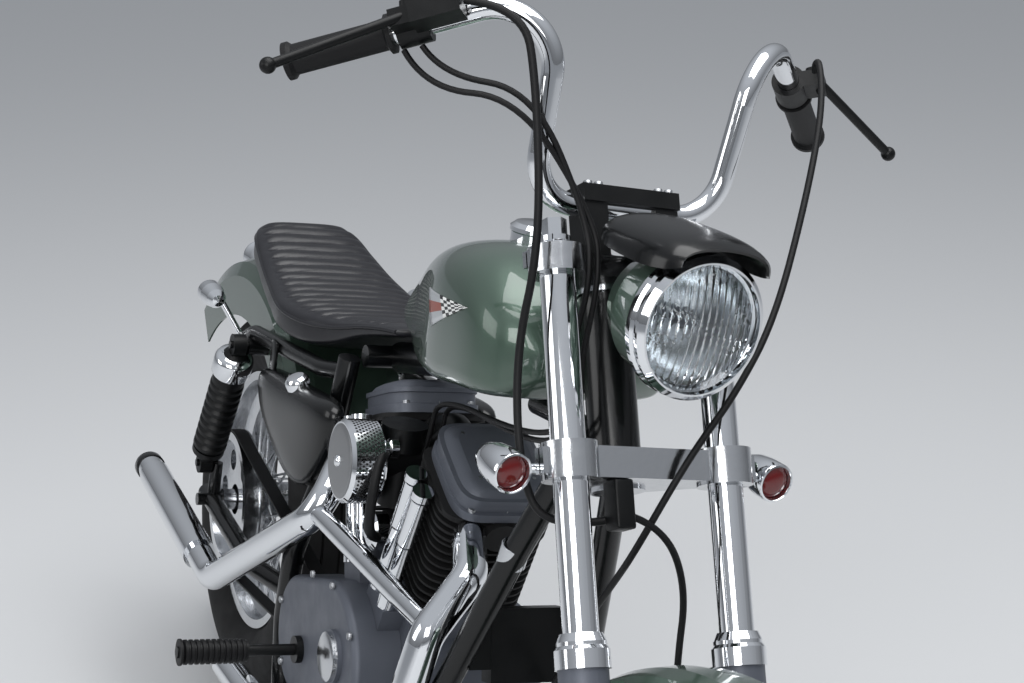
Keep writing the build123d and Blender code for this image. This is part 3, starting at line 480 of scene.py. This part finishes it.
# Headlight, in LAMP, its peak in LEVEL, and the peak's arm in the fork's frame
REFLECTOR = [(11, -84), (24, -80), (38, -72), (50, -61), (60, -47), (66, -32), (69.5, -16),
             (70.5, -16), (67.2, -33), (61, -48.5), (50.8, -62.4), (38.4, -73.6), (24, -81.6),
             (11, -85.5), (11, -84)]
BULB = [(0, -86), (9, -86), (9, -70), (6, -66), (6, -40), (0, -36)]
BULB_SHIELD = [(0, -30), (10, -31), (12, -34), (12, -44), (10.5, -44), (10.5, -35), (0, -32)]
GLASS_RADIUS = 70.7
GLASS_EDGE = 7.0  # height of its rim
GLASS_SWELL = 13.5  # of its middle over the rim
GLASS_WALL = 4.5
GLASS_RINGS, GLASS_RING_STEP = 24, 2.95
FLUTE_PITCH = 8.8
FLUTE_DEPTH = 1.1
PEAK_ROWS = [(-112, 64, 64, 92), (-90, 70, 58, 95), (-35, 72, 57, 97), (0, 69, 59, 96),
             (20, 62, 63, 92), (28, 54, 67, 88)]  # x, half width, height of edge and crown
PEAK_WALL = 3.0
PEAK_ARM = (((68.8, 0, 795), (128, 0, 806)), ((124, 0, 806), (184, 0, 797)))
PEAK_ARM_WIDTH, PEAK_ARM_WALL = 40, 4

# Seat and tank, each row x, half width, bottom and top
SEAT_ROWS = [(-98, 44, 728, 752), (-78, 66, 722, 772), (-30, 86, 716, 780), (40, 96, 706, 764),
             (110, 104, 694, 750), (180, 112, 686, 741), (250, 118, 678, 737),
             (320, 106, 680, 738), (380, 80, 696, 742), (450, 58, 730, 757),
             (510, 42, 750, 768), (532, 34, 757, 768)]
SEAT_FORM = {"edge_share": 0.58, "side": 0.62, "crown": 0.7, "floor": 0.25}
PIPING_SHARE = 0.62  # of the seat's height at which the piping runs
PLEATS_REAR, PLEATS_FRONT = -62, 500
PLEAT_FADE = 14  # in which the first and last pleats rise
PLEAT_REACH, PLEAT_REACH_FADE = 0.9, 0.12  # shares of the half width
PLEAT_BOW = 10.0  # of a pleat's ends behind its middle
TANK_ROWS = [(545, 30, 788, 815), (580, 40, 784, 842), (650, 57, 781, 893),
             (750, 88, 782, 944), (870, 119, 796, 980), (960, 126, 814, 990),
             (1030, 121, 828, 968), (1070, 100, 842, 940), (1084, 70, 862, 915)]
TANK_FORM = {"edge_share": 0.5, "side": 0.56, "crown": 0.74, "floor": 0.2}
TANK_NOSE = ((4, 0.86), (6, 0.6), (7, 0.25))  # ahead of the last row, share of its size
TANK_NOSE_HEIGHT = 888
PENNANT = ((846, 910), (892, 874), (1001, 927))  # x and z of its top, low and tip corners
PENNANT_COLUMNS, PENNANT_ROWS = 12, 6
PENNANT_PLAIN_COLUMNS = 5  # before the checks start
PENNANT_STAND_OFF, PENNANT_WALL = 1.0, 1.2

# Engine. Each bank's z runs up its cylinder from the crank, and the air cleaner's z outwards.
CRANK = (715, 0, 340)
BANK_LEAN = 22.5
ROCKER_LAYERS = ((345, 150, 132), (357, 150, 132), (358, 142, 126), (372, 142, 126),
                 (373, 148, 130), (379, 148, 130), (380, 138, 118), (387, 126, 106),
                 (391, 108, 90))  # height, length, width
ROCKER_FORM = {"edge_share": 0.5, "side": 0.42, "crown": 0.42, "floor": 0.42}
ROCKER_SCREWS = ([(x, y, 386.5) for x in (-42, 42) for y in (-36, 36)]
                 + [(x, y, 357) for x in (-66, 66) for y in (-46, 0, 46)])
CLEANER = (715, -108.3, 639)
CLEANER_FACE = [(0, 47.4), (0, 49.2), (40, 49.0), (47, 48.4), (49, 47.2)]
CLEANER_BOLT = [(0, 55), (5, 54.4), (7.5, 52), (8, 49), (8, 47.2)]
BAND_RADIUS, BAND_FOOT = 55.3, 6.5
BAND_ROWS, BAND_ROW_PITCH = 8, 4.4
BAND_HOLES, BAND_HOLE_RADIUS = 60, 1.75
BREATHER_ROUTE = [(742, -100, 668), (764, -118, 664), (779, -128, 630), (776, -128, 585),
                  (760, -118, 552), (733, -98, 540)]
BREATHER_D = 14
CARBURETTOR_PLUG = [(0, -6), (13, -6), (13, 4), (10, 6), (10, 12), (7, 14), (0, 14)]
TIMER_X, TIMER_Z = 735, 372
TIMER_COVER = [(0, 11), (28, 10.5), (33, 8), (34, 0)]
TIMER_SCREWS_RADIUS, TIMER_SCREWS = 30, (0.5, 2.6, 4.7)  # radians round the cover
COVER_SCREWS = ((615, 440), (700, 458), (790, 425), (815, 340), (760, 262), (640, 258),
                (520, 268), (490, 350))  # x and z

# Cables and hoses. Tops are in the fork's frame, necks in it with the bars straight, and tails
# in the bike's frame.
THROTTLE_CABLES = (
    [(42, -264, 1013), (52, -246, 968), (112, -165, 950), (86, -62, 830), (86, -62.5, 764),
     (22, -50, 692), (16, -50, 657)],
    [(57, -250, 1015.2), (64, -232, 982), (118, -152, 958), (88, -76, 836), (87, -73, 766),
     (24, -62, 706), (18, -62, 657)])
THROTTLE_NECKS = ((17, -51, 622), (19, -62, 610))
THROTTLE_TAILS = (
    [(1060, -50, 790), (772, -54, 751), (757, -52, 690), (742, -52, 657)],
    [(1050, -40, 778), (770, -38, 747), (756, -36, 690), (742, -36, 657)])
CLUTCH_CABLE = [(76, 279, 1025.3), (84, 264, 1050), (102, 262, 1058), (115, 247, 986),
                (118, 207, 872), (112, 151, 728), (100, 96, 643), (92, 52, 592), (82, 18, 545),
                (30, -6, 475)]
CLUTCH_NECK = (-40, 8, 455)
CLUTCH_TAIL = [(1130, 24, 590), (1052, 28, 450), (940, 24, 330), (884, 98, 334),
               (813.4, 100, 336)]
BRAKE_HOSE = [(122, -233.6, 1045.5), (152, -178, 1036), (138, -160, 950), (106, -148, 790),
              (34, -142, 690), (20, -138, 560), (24, -110, 500), (47.7, -42, 510)]
BRAKE_DROP = [(62, -27.7, 512), (62, 16, 500), (30, 62, 440), (-8, 68, 360), (-34, 68, 240),
              (-98, 66, 148), (-78.1, 63, 108.6)]
BRAKE_JUNCTION, BRAKE_JUNCTION_SIZE = (61, -40, 523.5), (26, 24, 54)

# Fittings on the fork
SIGNAL_X, SIGNAL_Y, SIGNAL_HEIGHT = 50.5, 172, 560
SIGNAL_POD = [(0, -50), (9, -48.5), (16, -40), (21, -24), (23, -6), (23, 13), (22, 15.5),
              (20, 16), (18.6, 14), (18.6, 7), (0, 7)]
SIGNAL_LENS = [(0, 15.5), (8, 15), (14, 13), (18.2, 9.6), (18.2, 7.4), (0, 7.4)]
SIGNAL_STALK = [(0, -18), (6, -18), (6, 18), (0, 18)]
CLAMP_BOLTS = [(50.5 + x, y, 878.7) for x in (-13, 13) for y in (-54, -40, 40, 54)]

# Fittings on the bike's rear
TAIL_SHELL = [(0, -42), (10, -40), (22, -28), (27, -6), (27, 16), (28.5, 18), (28.5, 23),
              (24, 24), (24, 18), (0, 18)]
TAIL_STEM = [(0, 0), (14, 0), (12, 6), (8, 10), (8, 30), (0, 30)]
TAIL_STEM_FOOT = 32  # from the lamp's middle in to the fender
TAIL_LENS = [(0, 30), (12, 29), (21, 25), (23.5, 20), (23.5, 18), (0, 18)]
SHOCK_FOOT, SHOCK_TOP, SHOCK_Y = (4, 385), (126, 621), 139  # x and z of its eyes
SHOCK_CAP = [(0, 0), (15, 0), (28, 6), (31, 12), (31, 38), (29, 41), (0, 41)]
SHOCK_CAP_DROP = 18  # from the top eye down to the cap
PIPE_RIM = [(19.6, 0), (23.4, 0), (24.6, 2), (24.6, 18), (23, 20), (19.6, 20), (19.6, 0)]
OIL_CAP = [(0, 17), (13, 16), (17, 12), (18, 9), (18, 0), (0, 0)]
SIDE_TANK = [(200, 614), (300, 630), (420, 646), (500, 660), (572, 664), (548, 600), (500, 540),
             (462, 508), (400, 500), (310, 528), (236, 552), (206, 584)]  # x and z, outline
SIDE_TANK_X, SIDE_TANK_Z = 385, 590
SIDE_TANK_LAYERS = ((96, 0.9), (100, 1.0), (118, 1.02), (130, 0.94), (138, 0.7),
                    (141, 0.3))  # y and share of the outline
TAB_X, TAB_SIZE = (250, 380), (24, 6, 52)
TAB_LINE_FRONT, TAB_LINE_LENGTH = 410, 290  # the line under the seat rail that the tabs follow
PEG_RIBS, PEG_RIB_PITCH = 11, 8
PEG_CORE, PEG_RIB = 15.1, 17.2  # radii
DOWN_TUBE_RUN = (-70, -4, -236)
TUBE_BAND = [(16.2, -14), (17.4, -13), (17.4, 13), (16.2, 14)]

# Stage, in metres: each softbox's name, place, side and power
FLOOR_RADIUS = 40.0
SOFTBOXES = (("Softbox_top", (0.6, 0.4, 4.2), 3.4, 150.0),
             ("Softbox_front", (4.2, -2.6, 3.0), 2.6, 110.0),
             ("Softbox_right", (-0.6, -4.6, 2.4), 2.4, 38.0))
LIT_SPOT = (0.1, 0.0, 0.6)

# A piece's ending, its side along y
SIDES = (("left", 1), ("right", -1))


class FinishSettings(bpy.types.PropertyGroup):
    """Colours of the machine's painted parts."""
    enamel: StringProperty(name="Enamel", description="Sage enamel, as an sRGB hex colour",
                           default="#465A4E")


class TrimSettings(bpy.types.PropertyGroup):
    """Sizes of the seat's trim and of the cables."""
    pleat_pitch: FloatProperty(name="Pleat pitch",
                               description="From one pleat to the next, in millimetres",
                               default=27.0)
    pleat_depth: FloatProperty(name="Pleat depth",
                               description="From crest to channel, in millimetres", default=9.0)
    piping: FloatProperty(name="Piping", description="Its diameter, in millimetres",
                          default=6.0)
    throttle_cable: FloatProperty(name="Throttle cable",
                                  description="Its diameter, in millimetres", default=7.0)
    clutch_cable: FloatProperty(name="Clutch cable",
                                description="Its diameter, in millimetres", default=8.0)
    brake_hose: FloatProperty(name="Upper brake hose",
                              description="Its diameter, in millimetres", default=9.0)
    brake_drop: FloatProperty(name="Lower brake hose",
                              description="Its diameter, in millimetres", default=8.0)


class StageSettings(bpy.types.PropertyGroup):
    """Floor, light and camera."""
    floor_colour: StringProperty(name="Floor", description="Floor, as an sRGB hex colour",
                                 default="#C8C9CA")
    dome_colour: StringProperty(name="Dome", description="World, as an sRGB hex colour",
                                default="#C9CDD3")
    camera_place: FloatVectorProperty(name="Camera",
                                      description="Where the photograph is taken from",
                                      default=(2.4185, -0.9454, 1.6329),
                                      subtype="TRANSLATION", unit="LENGTH")
    camera_turn: FloatProperty(name="Turn",
                               description="Sight line's turn from straight back, to the left",
                               default=math.radians(21.25), subtype="ANGLE")
    camera_dip: FloatProperty(name="Dip", description="Sight line below the horizon",
                              default=math.radians(17.64), subtype="ANGLE")
    lens: FloatProperty(name="Lens",
                        description="Focal length on a 36 mm wide frame, in millimetres",
                        default=74.3)


class VTWIN_OT_finish_nodes(bpy.types.Operator):
    """Gives each carried-over piece its real finish"""
    bl_idname = "vtwin.finish_nodes"
    bl_label = "Finish the frame's pieces"

    def execute(self, context):
        enamel = shared(sage_enamel, context.scene.vtwin_finish.enamel)
        finish_of = {name: shared(maker) for maker, names in FINISHES.items() for name in names}
        finish_of.update({name: enamel for name in ENAMELLED})
        for name, node in NODES.items():
            node.data.materials.clear()
            node.data.materials.append(finish_of[name])
        return {"FINISHED"}


def glass_height(radius):
    """The height of the headlight glass's front at a radius."""
    return GLASS_EDGE + GLASS_SWELL * (1 - (radius / GLASS_RADIUS) ** 2)


class VTWIN_OT_headlight(bpy.types.Operator):
    """Reflector, bulb shield and fluted glass, and the peak over them"""
    bl_idname = "vtwin.headlight"
    bl_label = "Headlight"

    def execute(self, context):
        black = shared(black_enamel)
        finished(turned([(Matrix(), REFLECTOR)], 96), "Headlight_reflector", LAMP,
                 [shared(mirror_coat)], "steering")
        finished(turned([(Matrix(), BULB)], 32), "Headlight_bulb", LAMP,
                 [plain("Bulb_envelope", "#D8DDE2", Roughness=0.15)], "steering")
        finished(turned([(Matrix(), BULB_SHIELD)], 32), "Headlight_bulb_shield", LAMP,
                 [plain("Bulb_shield_steel", "#5A5E64", Metallic=1.0, Roughness=0.3)],
                 "steering")

        radii = [GLASS_RADIUS - GLASS_RING_STEP * i for i in range(GLASS_RINGS)] + [0]
        front = [(radius, glass_height(radius)) for radius in radii]
        back = [(radius, height - GLASS_WALL) for radius, height in front]
        glass = turned([(Matrix(), front[::-1] + back)], 150)
        for vert in glass.verts:  # upright flutes, on the back alone
            x, y, z = vert.co
            if z < glass_height(math.hypot(x, y)) - GLASS_WALL / 2:
                vert.co.z += FLUTE_DEPTH * math.cos(math.tau * y / FLUTE_PITCH)
        lens = finished(glass, "Headlight_glass", LAMP, [shared(lens_glass)], "steering")
        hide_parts("headlight_lens")

        rows = smooth_rows(PEAK_ROWS, 8)
        last = len(rows) - 1
        peak = bmesh.new()
        bmesh.ops.create_grid(peak, x_segments=last, y_segments=28, size=1.0)
        for vert in peak.verts:
            x, half, edge, top = rows[round((vert.co.x + 1) / 2 * last)]
            t = vert.co.y * math.pi / 2
            vert.co = (x, half * math.sin(t), edge + (top - edge) * math.cos(t) ** 0.7)
        bmesh.ops.recalc_face_normals(peak, faces=peak.faces)
        bmesh.ops.solidify(peak, geom=peak.faces, thickness=-PEAK_WALL)
        visor = finished(peak, "Headlight_peak", LEVEL, [black], "steering", 60.0)
        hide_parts("headlight_visor")
        bars = []
        for low, high in PEAK_ARM:
            run = Vector(high) - Vector(low)
            place = Matrix.Translation((Vector(low) + Vector(high)) / 2)
            bars.append((place @ Matrix.Rotation(math.atan2(-run.z, run.x), 4, "Y"),
                         (run.length, PEAK_ARM_WIDTH, PEAK_ARM_WALL)))
        finished(blocks(bars, 1.0, 2), "Headlight_peak_arm", FORK_MM, [black], "steering")
        return {"FINISHED"}


class VTWIN_OT_seat(bpy.types.Operator):
    """Low stepped seat with cross pleats and a piped edge"""
    bl_idname = "vtwin.seat"
    bl_label = "Seat"

    def execute(self, context):
        trim = context.scene.vtwin_trim
        rings = []
        for x, half, low, high in smooth_rows(SEAT_ROWS, 3.5):
            ring = ring_at(x, half, low, high, **SEAT_FORM)
            edge = low + SEAT_FORM["edge_share"] * (high - low)
            ends = min(1.0, (x - PLEATS_REAR) / PLEAT_FADE, (PLEATS_FRONT - x) / PLEAT_FADE)
            for place in ring:
                across = abs(place.y) / half
                if place.z > edge and PLEATS_REAR < x < PLEATS_FRONT:
                    reach = min(1.0, max(0.0, (PLEAT_REACH - across) / PLEAT_REACH_FADE))
                    bow = x + PLEAT_BOW * across ** 2
                    crest = abs(math.sin(math.pi * bow / trim.pleat_pitch)) ** 0.55
                    place.z += reach * ends * trim.pleat_depth * (crest - 0.75)
            rings.append(ring)
        vinyl = shared(seat_vinyl)
        seat = finished(skinned(rings), "Saddle_pleated", BIKE_MM, [vinyl], "chassis",
                        180.0)
        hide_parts("seat")
        edge_rows = smooth_rows(SEAT_ROWS, 30)
        for word, side in SIDES:
            line = [(x, side * (half * 0.985 + 0.5), low + PIPING_SHARE * (high - low))
                    for x, half, low, high in edge_rows]
            hose("Saddle_piping_" + word, line, trim.piping, BIKE_MM, vinyl, "chassis")
        return {"FINISHED"}


class VTWIN_OT_tank(bpy.types.Operator):
    """Small fuel tank with a pennant on each side"""
    bl_idname = "vtwin.tank"
    bl_label = "Fuel tank"

    def execute(self, context):
        rings = [ring_at(*row, **TANK_FORM) for row in smooth_rows(TANK_ROWS, 12)]
        x, half, low, high = TANK_ROWS[-1]
        for ahead, share in TANK_NOSE:
            rings.append(ring_at(x + ahead, half * share,
                                 TANK_NOSE_HEIGHT - (TANK_NOSE_HEIGHT - low) * share,
                                 TANK_NOSE_HEIGHT + (high - TANK_NOSE_HEIGHT) * share,
                                 **TANK_FORM))
        shell = skinned(rings)
        tree = BVHTree.FromBMesh(shell)
        tank = finished(shell, "Fuel_tank_shell", BIKE_MM,
                        [shared(sage_enamel, context.scene.vtwin_finish.enamel)], "chassis",
                        50.0)
        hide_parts("fuel_tank")

        top, low, tip = (Vector((x, 0, z)) for x, z in PENNANT)
        fields = [plain("Badge_silver", "#C9CCCF", Metallic=0.6, Roughness=0.3),
                  plain("Badge_black", "#141416", Roughness=0.25),
                  plain("Badge_white", "#E4E5E3", Roughness=0.3),
                  plain("Badge_rust", "#8C4638", Roughness=0.3)]
        silver, black, white, rust = range(len(fields))
        for word, side in SIDES:
            badge = bmesh.new()
            bmesh.ops.create_grid(badge, x_segments=PENNANT_COLUMNS, y_segments=PENNANT_ROWS,
                                  size=1.0)
            for face in badge.faces:
                centre = face.calc_center_median()
                column = int((centre.x + 1) / 2 * PENNANT_COLUMNS)
                row = int((centre.y + 1) / 2 * PENNANT_ROWS)
                if column >= PENNANT_PLAIN_COLUMNS:
                    face.material_index = black if (column + row) % 2 else white
                else:
                    face.material_index = rust if 1 < row < 4 else silver
            for vert in badge.verts:
                u, v = (vert.co.x + 1) / 2, (vert.co.y + 1) / 2
                flat = (top.lerp(low, v)).lerp(tip, u)
                outside = Vector((flat.x, side * 260, flat.z))
                hit, normal, _, _ = tree.ray_cast(outside, Vector((0, -side, 0)))
                vert.co = hit + normal * PENNANT_STAND_OFF
            bmesh.ops.remove_doubles(badge, verts=badge.verts, dist=0.01)
            bmesh.ops.recalc_face_normals(badge, faces=badge.faces)
            plate = finished(badge, "Tank_badge_" + word, BIKE_MM, fields, "chassis")
            thick = plate.modifiers.new("Plate", "SOLIDIFY")
            thick.thickness = PENNANT_WALL * MM
            thick.offset = 0.0
        return {"FINISHED"}


class VTWIN_OT_engine_dress(bpy.types.Operator):
    """Layered rocker boxes, air cleaner face and band, breather hose and cover screws"""
    bl_idname = "vtwin.engine_dress"
    bl_label = "Engine covers"

    def execute(self, context):
        paint, steel, chrome = shared(powder_grey), shared(screw_steel), shared(chrome_plate)
        for word, lean in (("front", BANK_LEAN), ("rear", -BANK_LEAN)):
            bank = BIKE_MM @ at(CRANK, lean, "Y")
            rings = []
            for z, long, wide in ROCKER_LAYERS:
                ring = ring_at(0, wide / 2, -long / 2, long / 2, **ROCKER_FORM)
                rings.append([Vector((place.z, place.y, z)) for place in ring])
            box = finished(skinned(rings), "Rocker_box_" + word, bank, [paint], "chassis",
                           25.0)
            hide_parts("rocker_box_" + word)
            finished(turned([(at(place), SCREW) for place in ROCKER_SCREWS], 12),
                     "Rocker_screws_" + word, bank, [steel], "chassis")

        cleaner = BIKE_MM @ at(CLEANER, 90)
        finished(turned([(Matrix(), CLEANER_FACE)]), "Air_cleaner_face", cleaner,
                 [plain("Air_cleaner_spun_face", "#8F9092", Metallic=0.85, Roughness=0.42)],
                 "chassis")
        finished(turned([(Matrix(), CLEANER_BOLT)], 32), "Air_cleaner_bolt", cleaner, [chrome],
                 "chassis")
        band = bmesh.new()
        for row in range(BAND_ROWS):
            for i in range(BAND_HOLES):
                turn = Matrix.Rotation(math.tau * (i + 0.5 * (row % 2)) / BAND_HOLES, 4, "Z")
                place = at((BAND_RADIUS, 0, BAND_FOOT + BAND_ROW_PITCH * row), 90, "Y")
                bmesh.ops.create_circle(band, cap_ends=True, segments=6,
                                        radius=BAND_HOLE_RADIUS, matrix=turn @ place)
        finished(band, "Air_cleaner_perforation", cleaner,
                 [plain("Filter_shadow", "#101112", Roughness=0.8)], "chassis")

        hose("Breather_hose", BREATHER_ROUTE, BREATHER_D, BIKE_MM, shared(moulded_rubber),
             "chassis")
        finished(turned([(at((748, -98, 668), 90), CARBURETTOR_PLUG)], 32),
                 "Carburettor_fitting", BIKE_MM, [chrome], "chassis")
        places = [(TIMER_X + TIMER_SCREWS_RADIUS * math.cos(a), -141.2,
                   TIMER_Z + TIMER_SCREWS_RADIUS * math.sin(a)) for a in TIMER_SCREWS]
        places += [(x, -137.2, z) for x, z in COVER_SCREWS]
        finished(turned([(at(place, 90), SCREW) for place in places], 12), "Cam_cover_screws",
                 BIKE_MM, [steel], "chassis")
        finished(turned([(at((TIMER_X, -140.8, TIMER_Z), 90), TIMER_COVER)]), "Timer_cover",
                 BIKE_MM, [shared(cast_aluminium)], "chassis")
        return {"FINISHED"}


class VTWIN_OT_controls(bpy.types.Operator):
    """Cables and hoses, front signals with red lenses and the bar clamp's bolts"""
    bl_idname = "vtwin.controls"
    bl_label = "Cables and signals"

    def execute(self, context):
        trim = context.scene.vtwin_trim
        rubber = shared(moulded_rubber)
        to_fork = FORK_MM.inverted()
        for name, top, neck, tail, diameter in (
                ("Throttle_cable_open", THROTTLE_CABLES[0], THROTTLE_NECKS[0],
                 THROTTLE_TAILS[0], trim.throttle_cable),
                ("Throttle_cable_close", THROTTLE_CABLES[1], THROTTLE_NECKS[1],
                 THROTTLE_TAILS[1], trim.throttle_cable),
                ("Clutch_cable", CLUTCH_CABLE, CLUTCH_NECK, CLUTCH_TAIL, trim.clutch_cable)):
            route = [Vector(place) for place in top] + [to_fork @ STRAIGHT_MM @ Vector(neck)]
            route += [to_fork @ BIKE_MM @ Vector(place) for place in tail]
            cable = hose(name, route, diameter, FORK_MM, rubber, None)
            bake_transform(cable)
        hose("Brake_hose_upper", BRAKE_HOSE, trim.brake_hose, FORK_MM, rubber, "steering")
        hose("Brake_hose_lower", BRAKE_DROP, trim.brake_drop, FORK_MM, rubber, "steering")
        finished(blocks([(at(BRAKE_JUNCTION), BRAKE_JUNCTION_SIZE)], 3, 3),
                 "Brake_hose_junction", FORK_MM, [shared(satin_black)], "steering")

        pods, lenses = [], []
        for _, side in SIDES:
            place = at((SIGNAL_X, side * SIGNAL_Y, SIGNAL_HEIGHT), 90 + RAKE, "Y")
            pods += [(place, SIGNAL_POD), (at((53, side * 148, 561), 90), SIGNAL_STALK)]
            lenses.append((place, SIGNAL_LENS))
        signals = finished(turned(pods, 48), "Signals_front", FORK_MM, [shared(chrome_plate)],
                           "steering")
        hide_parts("front_signals")
        finished(turned(lenses, 48), "Signal_lenses_front", FORK_MM, [shared(red_lens)],
                 "steering")
        finished(turned([(at(place), SCREW) for place in CLAMP_BOLTS], 12), "Bar_clamp_bolts",
                 FORK_MM, [shared(screw_steel)], "steering")
        return {"FINISHED"}


class VTWIN_OT_rear_fittings(bpy.types.Operator):
    """Tail light, shock tops, pipe tip, oil cap, side tanks, peg rubbers and the tube band"""
    bl_idname = "vtwin.rear_fittings"
    bl_label = "Rear fittings"

    def execute(self, context):
        chrome, black = shared(chrome_plate), shared(black_enamel)
        low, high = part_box("taillight")
        middle = BIKE_MM.inverted() @ ((Vector(low) + Vector(high)) / 2)
        out = Vector((middle.x, 0, middle.z - REAR_RADIUS / MM)).normalized()
        back = at(middle, -90, "Y")
        stem = along(middle - out * TAIL_STEM_FOOT, out)
        lamp = finished(turned([(back, TAIL_SHELL), (stem, TAIL_STEM)], 48), "Tail_light_shell",
                        BIKE_MM, [chrome], "chassis")
        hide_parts("taillight")
        finished(turned([(back, TAIL_LENS)], 48), "Tail_light_lens", BIKE_MM,
                 [shared(red_lens)], "chassis")

        (foot_x, foot_z), (top_x, top_z) = SHOCK_FOOT, SHOCK_TOP
        run = Vector((foot_x - top_x, 0, foot_z - top_z)).normalized()
        tops = [(along(Vector((top_x, side * SHOCK_Y, top_z)) + run * SHOCK_CAP_DROP, run),
                 SHOCK_CAP) for _, side in SIDES]
        finished(turned(tops, 48), "Shock_tops", BIKE_MM, [chrome], "chassis")
        finished(turned([(at((-158, -185, 316.1), -92, "Y"), PIPE_RIM)], 48), "Pipe_tip",
                 BIKE_MM, [black], "chassis")
        finished(turned([(at((402, -122, 642), 28), OIL_CAP)], 48), "Oil_tank_cap", BIKE_MM,
                 [chrome], "chassis")

        for side, word, node in ((-1, "right", "oil_tank"), (1, "left", "battery_cover")):
            rings = [[Vector((SIDE_TANK_X + (x - SIDE_TANK_X) * share, side * y,
                              SIDE_TANK_Z + (z - SIDE_TANK_Z) * share)) for x, z in SIDE_TANK]
                     for y, share in SIDE_TANK_LAYERS]
            side_tank = finished(skinned(rings), "Side_tank_" + word, BIKE_MM, [black],
                                 "chassis", 180.0)
            swell = side_tank.modifiers.new("Swell", "SUBSURF")
            swell.levels = swell.render_levels = 2
            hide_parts(node)
            tabs = []
            for x in TAB_X:
                share = (TAB_LINE_FRONT - x) / TAB_LINE_LENGTH
                tabs.append((at((x, side * (128.6 - 20 * share), 622 + 32 * share)), TAB_SIZE))
            finished(blocks(tabs, 2, 2), "Side_tank_tabs_" + word, BIKE_MM, [black], "chassis")

        ribs = [(PEG_CORE, 0)]
        for k in range(PEG_RIBS):
            foot = PEG_RIB_PITCH * k
            ribs += [(PEG_CORE, foot + 3), (PEG_RIB, foot + 4), (PEG_RIB, foot + 8),
                     (PEG_CORE, foot + 9)]
        ribs += [(18.5, 92), (18.5, 95), (0, 96)]
        for side, word in ((-1, "right"), (1, "left")):
            finished(turned([(at((594, side * 214, 319), -90 * side), ribs)], 32),
                     "Peg_rubber_" + word, BIKE_MM, [shared(moulded_rubber)], "chassis")
        band = along(Vector((1082, -58, 655)), Vector(DOWN_TUBE_RUN).normalized())
        finished(turned([(band, TUBE_BAND)], 48), "Down_tube_band", BIKE_MM,
                 [shared(cast_aluminium)], "chassis")
        return {"FINISHED"}


class VTWIN_OT_stage(bpy.types.Operator):
    """Lays the floor and sets the light and the camera"""
    bl_idname = "vtwin.stage"
    bl_label = "Stage"

    def execute(self, context):
        scene, settings = context.scene, context.scene.vtwin_stage
        mesh = bpy.data.meshes.new("Floor")
        shape = bmesh.new()
        bmesh.ops.create_circle(shape, cap_ends=True, segments=64, radius=FLOOR_RADIUS)
        shape.to_mesh(mesh)
        shape.free()
        floor = bpy.data.objects.new("Floor", mesh)
        scene.collection.objects.link(floor)
        screed = empty_material("Floor_pale_screed")
        surface(screed, {"Base Color": linear(settings.floor_colour), "Roughness": 0.85})
        mesh.materials.append(screed)

        # The dome is dimmer towards the horizon, which gives chrome a dark line to mirror
        world = bpy.data.worlds.new("Studio_dome")
        world.use_nodes = True
        background = world.node_tree.nodes["Background"]
        background.inputs["Color"].default_value = linear(settings.dome_colour)
        place = add(world, "TexCoord")
        height = add(world, "SeparateXYZ", {"Vector": place.outputs["Generated"]})
        rise = add(world, "MapRange", {"Value": height.outputs["Z"], "From Min": 0.0,
                                       "From Max": 0.75, "To Min": 0.28, "To Max": 0.85})
        world.node_tree.links.new(rise.outputs["Result"], background.inputs["Strength"])
        scene.world = world

        for name, place, size, power in SOFTBOXES:
            light = bpy.data.lights.new(name, "AREA")
            light.shape = "SQUARE"
            light.size = size
            light.energy = power
            lamp = bpy.data.objects.new(name, light)
            lamp.location = place
            sight = Vector(LIT_SPOT) - Vector(place)
            lamp.rotation_euler = sight.to_track_quat("-Z", "Y").to_euler()
            scene.collection.objects.link(lamp)

        camera = bpy.data.objects.new("Camera", bpy.data.cameras.new("Camera"))
        camera.data.lens = settings.lens
        camera.data.sensor_width = 36.0
        turn, dip = settings.camera_turn, settings.camera_dip
        sight = Vector((-math.cos(dip) * math.cos(turn), math.cos(dip) * math.sin(turn),
                        -math.sin(dip)))
        camera.location = settings.camera_place
        camera.rotation_mode = "QUATERNION"
        camera.rotation_quaternion = sight.to_track_quat("-Z", "Y")
        scene.collection.objects.link(camera)
        scene.camera = camera
        scene.view_settings.view_transform = "Standard"
        return {"FINISHED"}


class VTWIN_PT_panel(bpy.types.Panel):
    """Lists the pieces in the order in which they are made"""
    bl_label = "V-twin"
    bl_space_type = "VIEW_3D"
    bl_region_type = "UI"
    bl_category = "V-twin"

    def draw(self, context):
        for step in STEPS:
            self.layout.operator(step.bl_idname)


SETTINGS = {"vtwin_finish": FinishSettings, "vtwin_trim": TrimSettings,
            "vtwin_stage": StageSettings}
STEPS = [VTWIN_OT_stage, VTWIN_OT_finish_nodes, VTWIN_OT_headlight, VTWIN_OT_seat,
         VTWIN_OT_tank, VTWIN_OT_engine_dress, VTWIN_OT_controls, VTWIN_OT_rear_fittings]


def register():
    for group in (*SETTINGS.values(), *STEPS, VTWIN_PT_panel):
        bpy.utils.register_class(group)
    for name, group in SETTINGS.items():
        setattr(bpy.types.Scene, name, PointerProperty(type=group))


def unregister():
    for name in SETTINGS:
        delattr(bpy.types.Scene, name)
    for group in (VTWIN_PT_panel, *reversed(STEPS), *SETTINGS.values()):
        bpy.utils.unregister_class(group)


def main():
    """Makes every piece in order."""
    register()
    for step in STEPS:
        getattr(bpy.ops.vtwin, step.bl_idname.split(".")[1])()


if __name__ == "__main__":
    main()
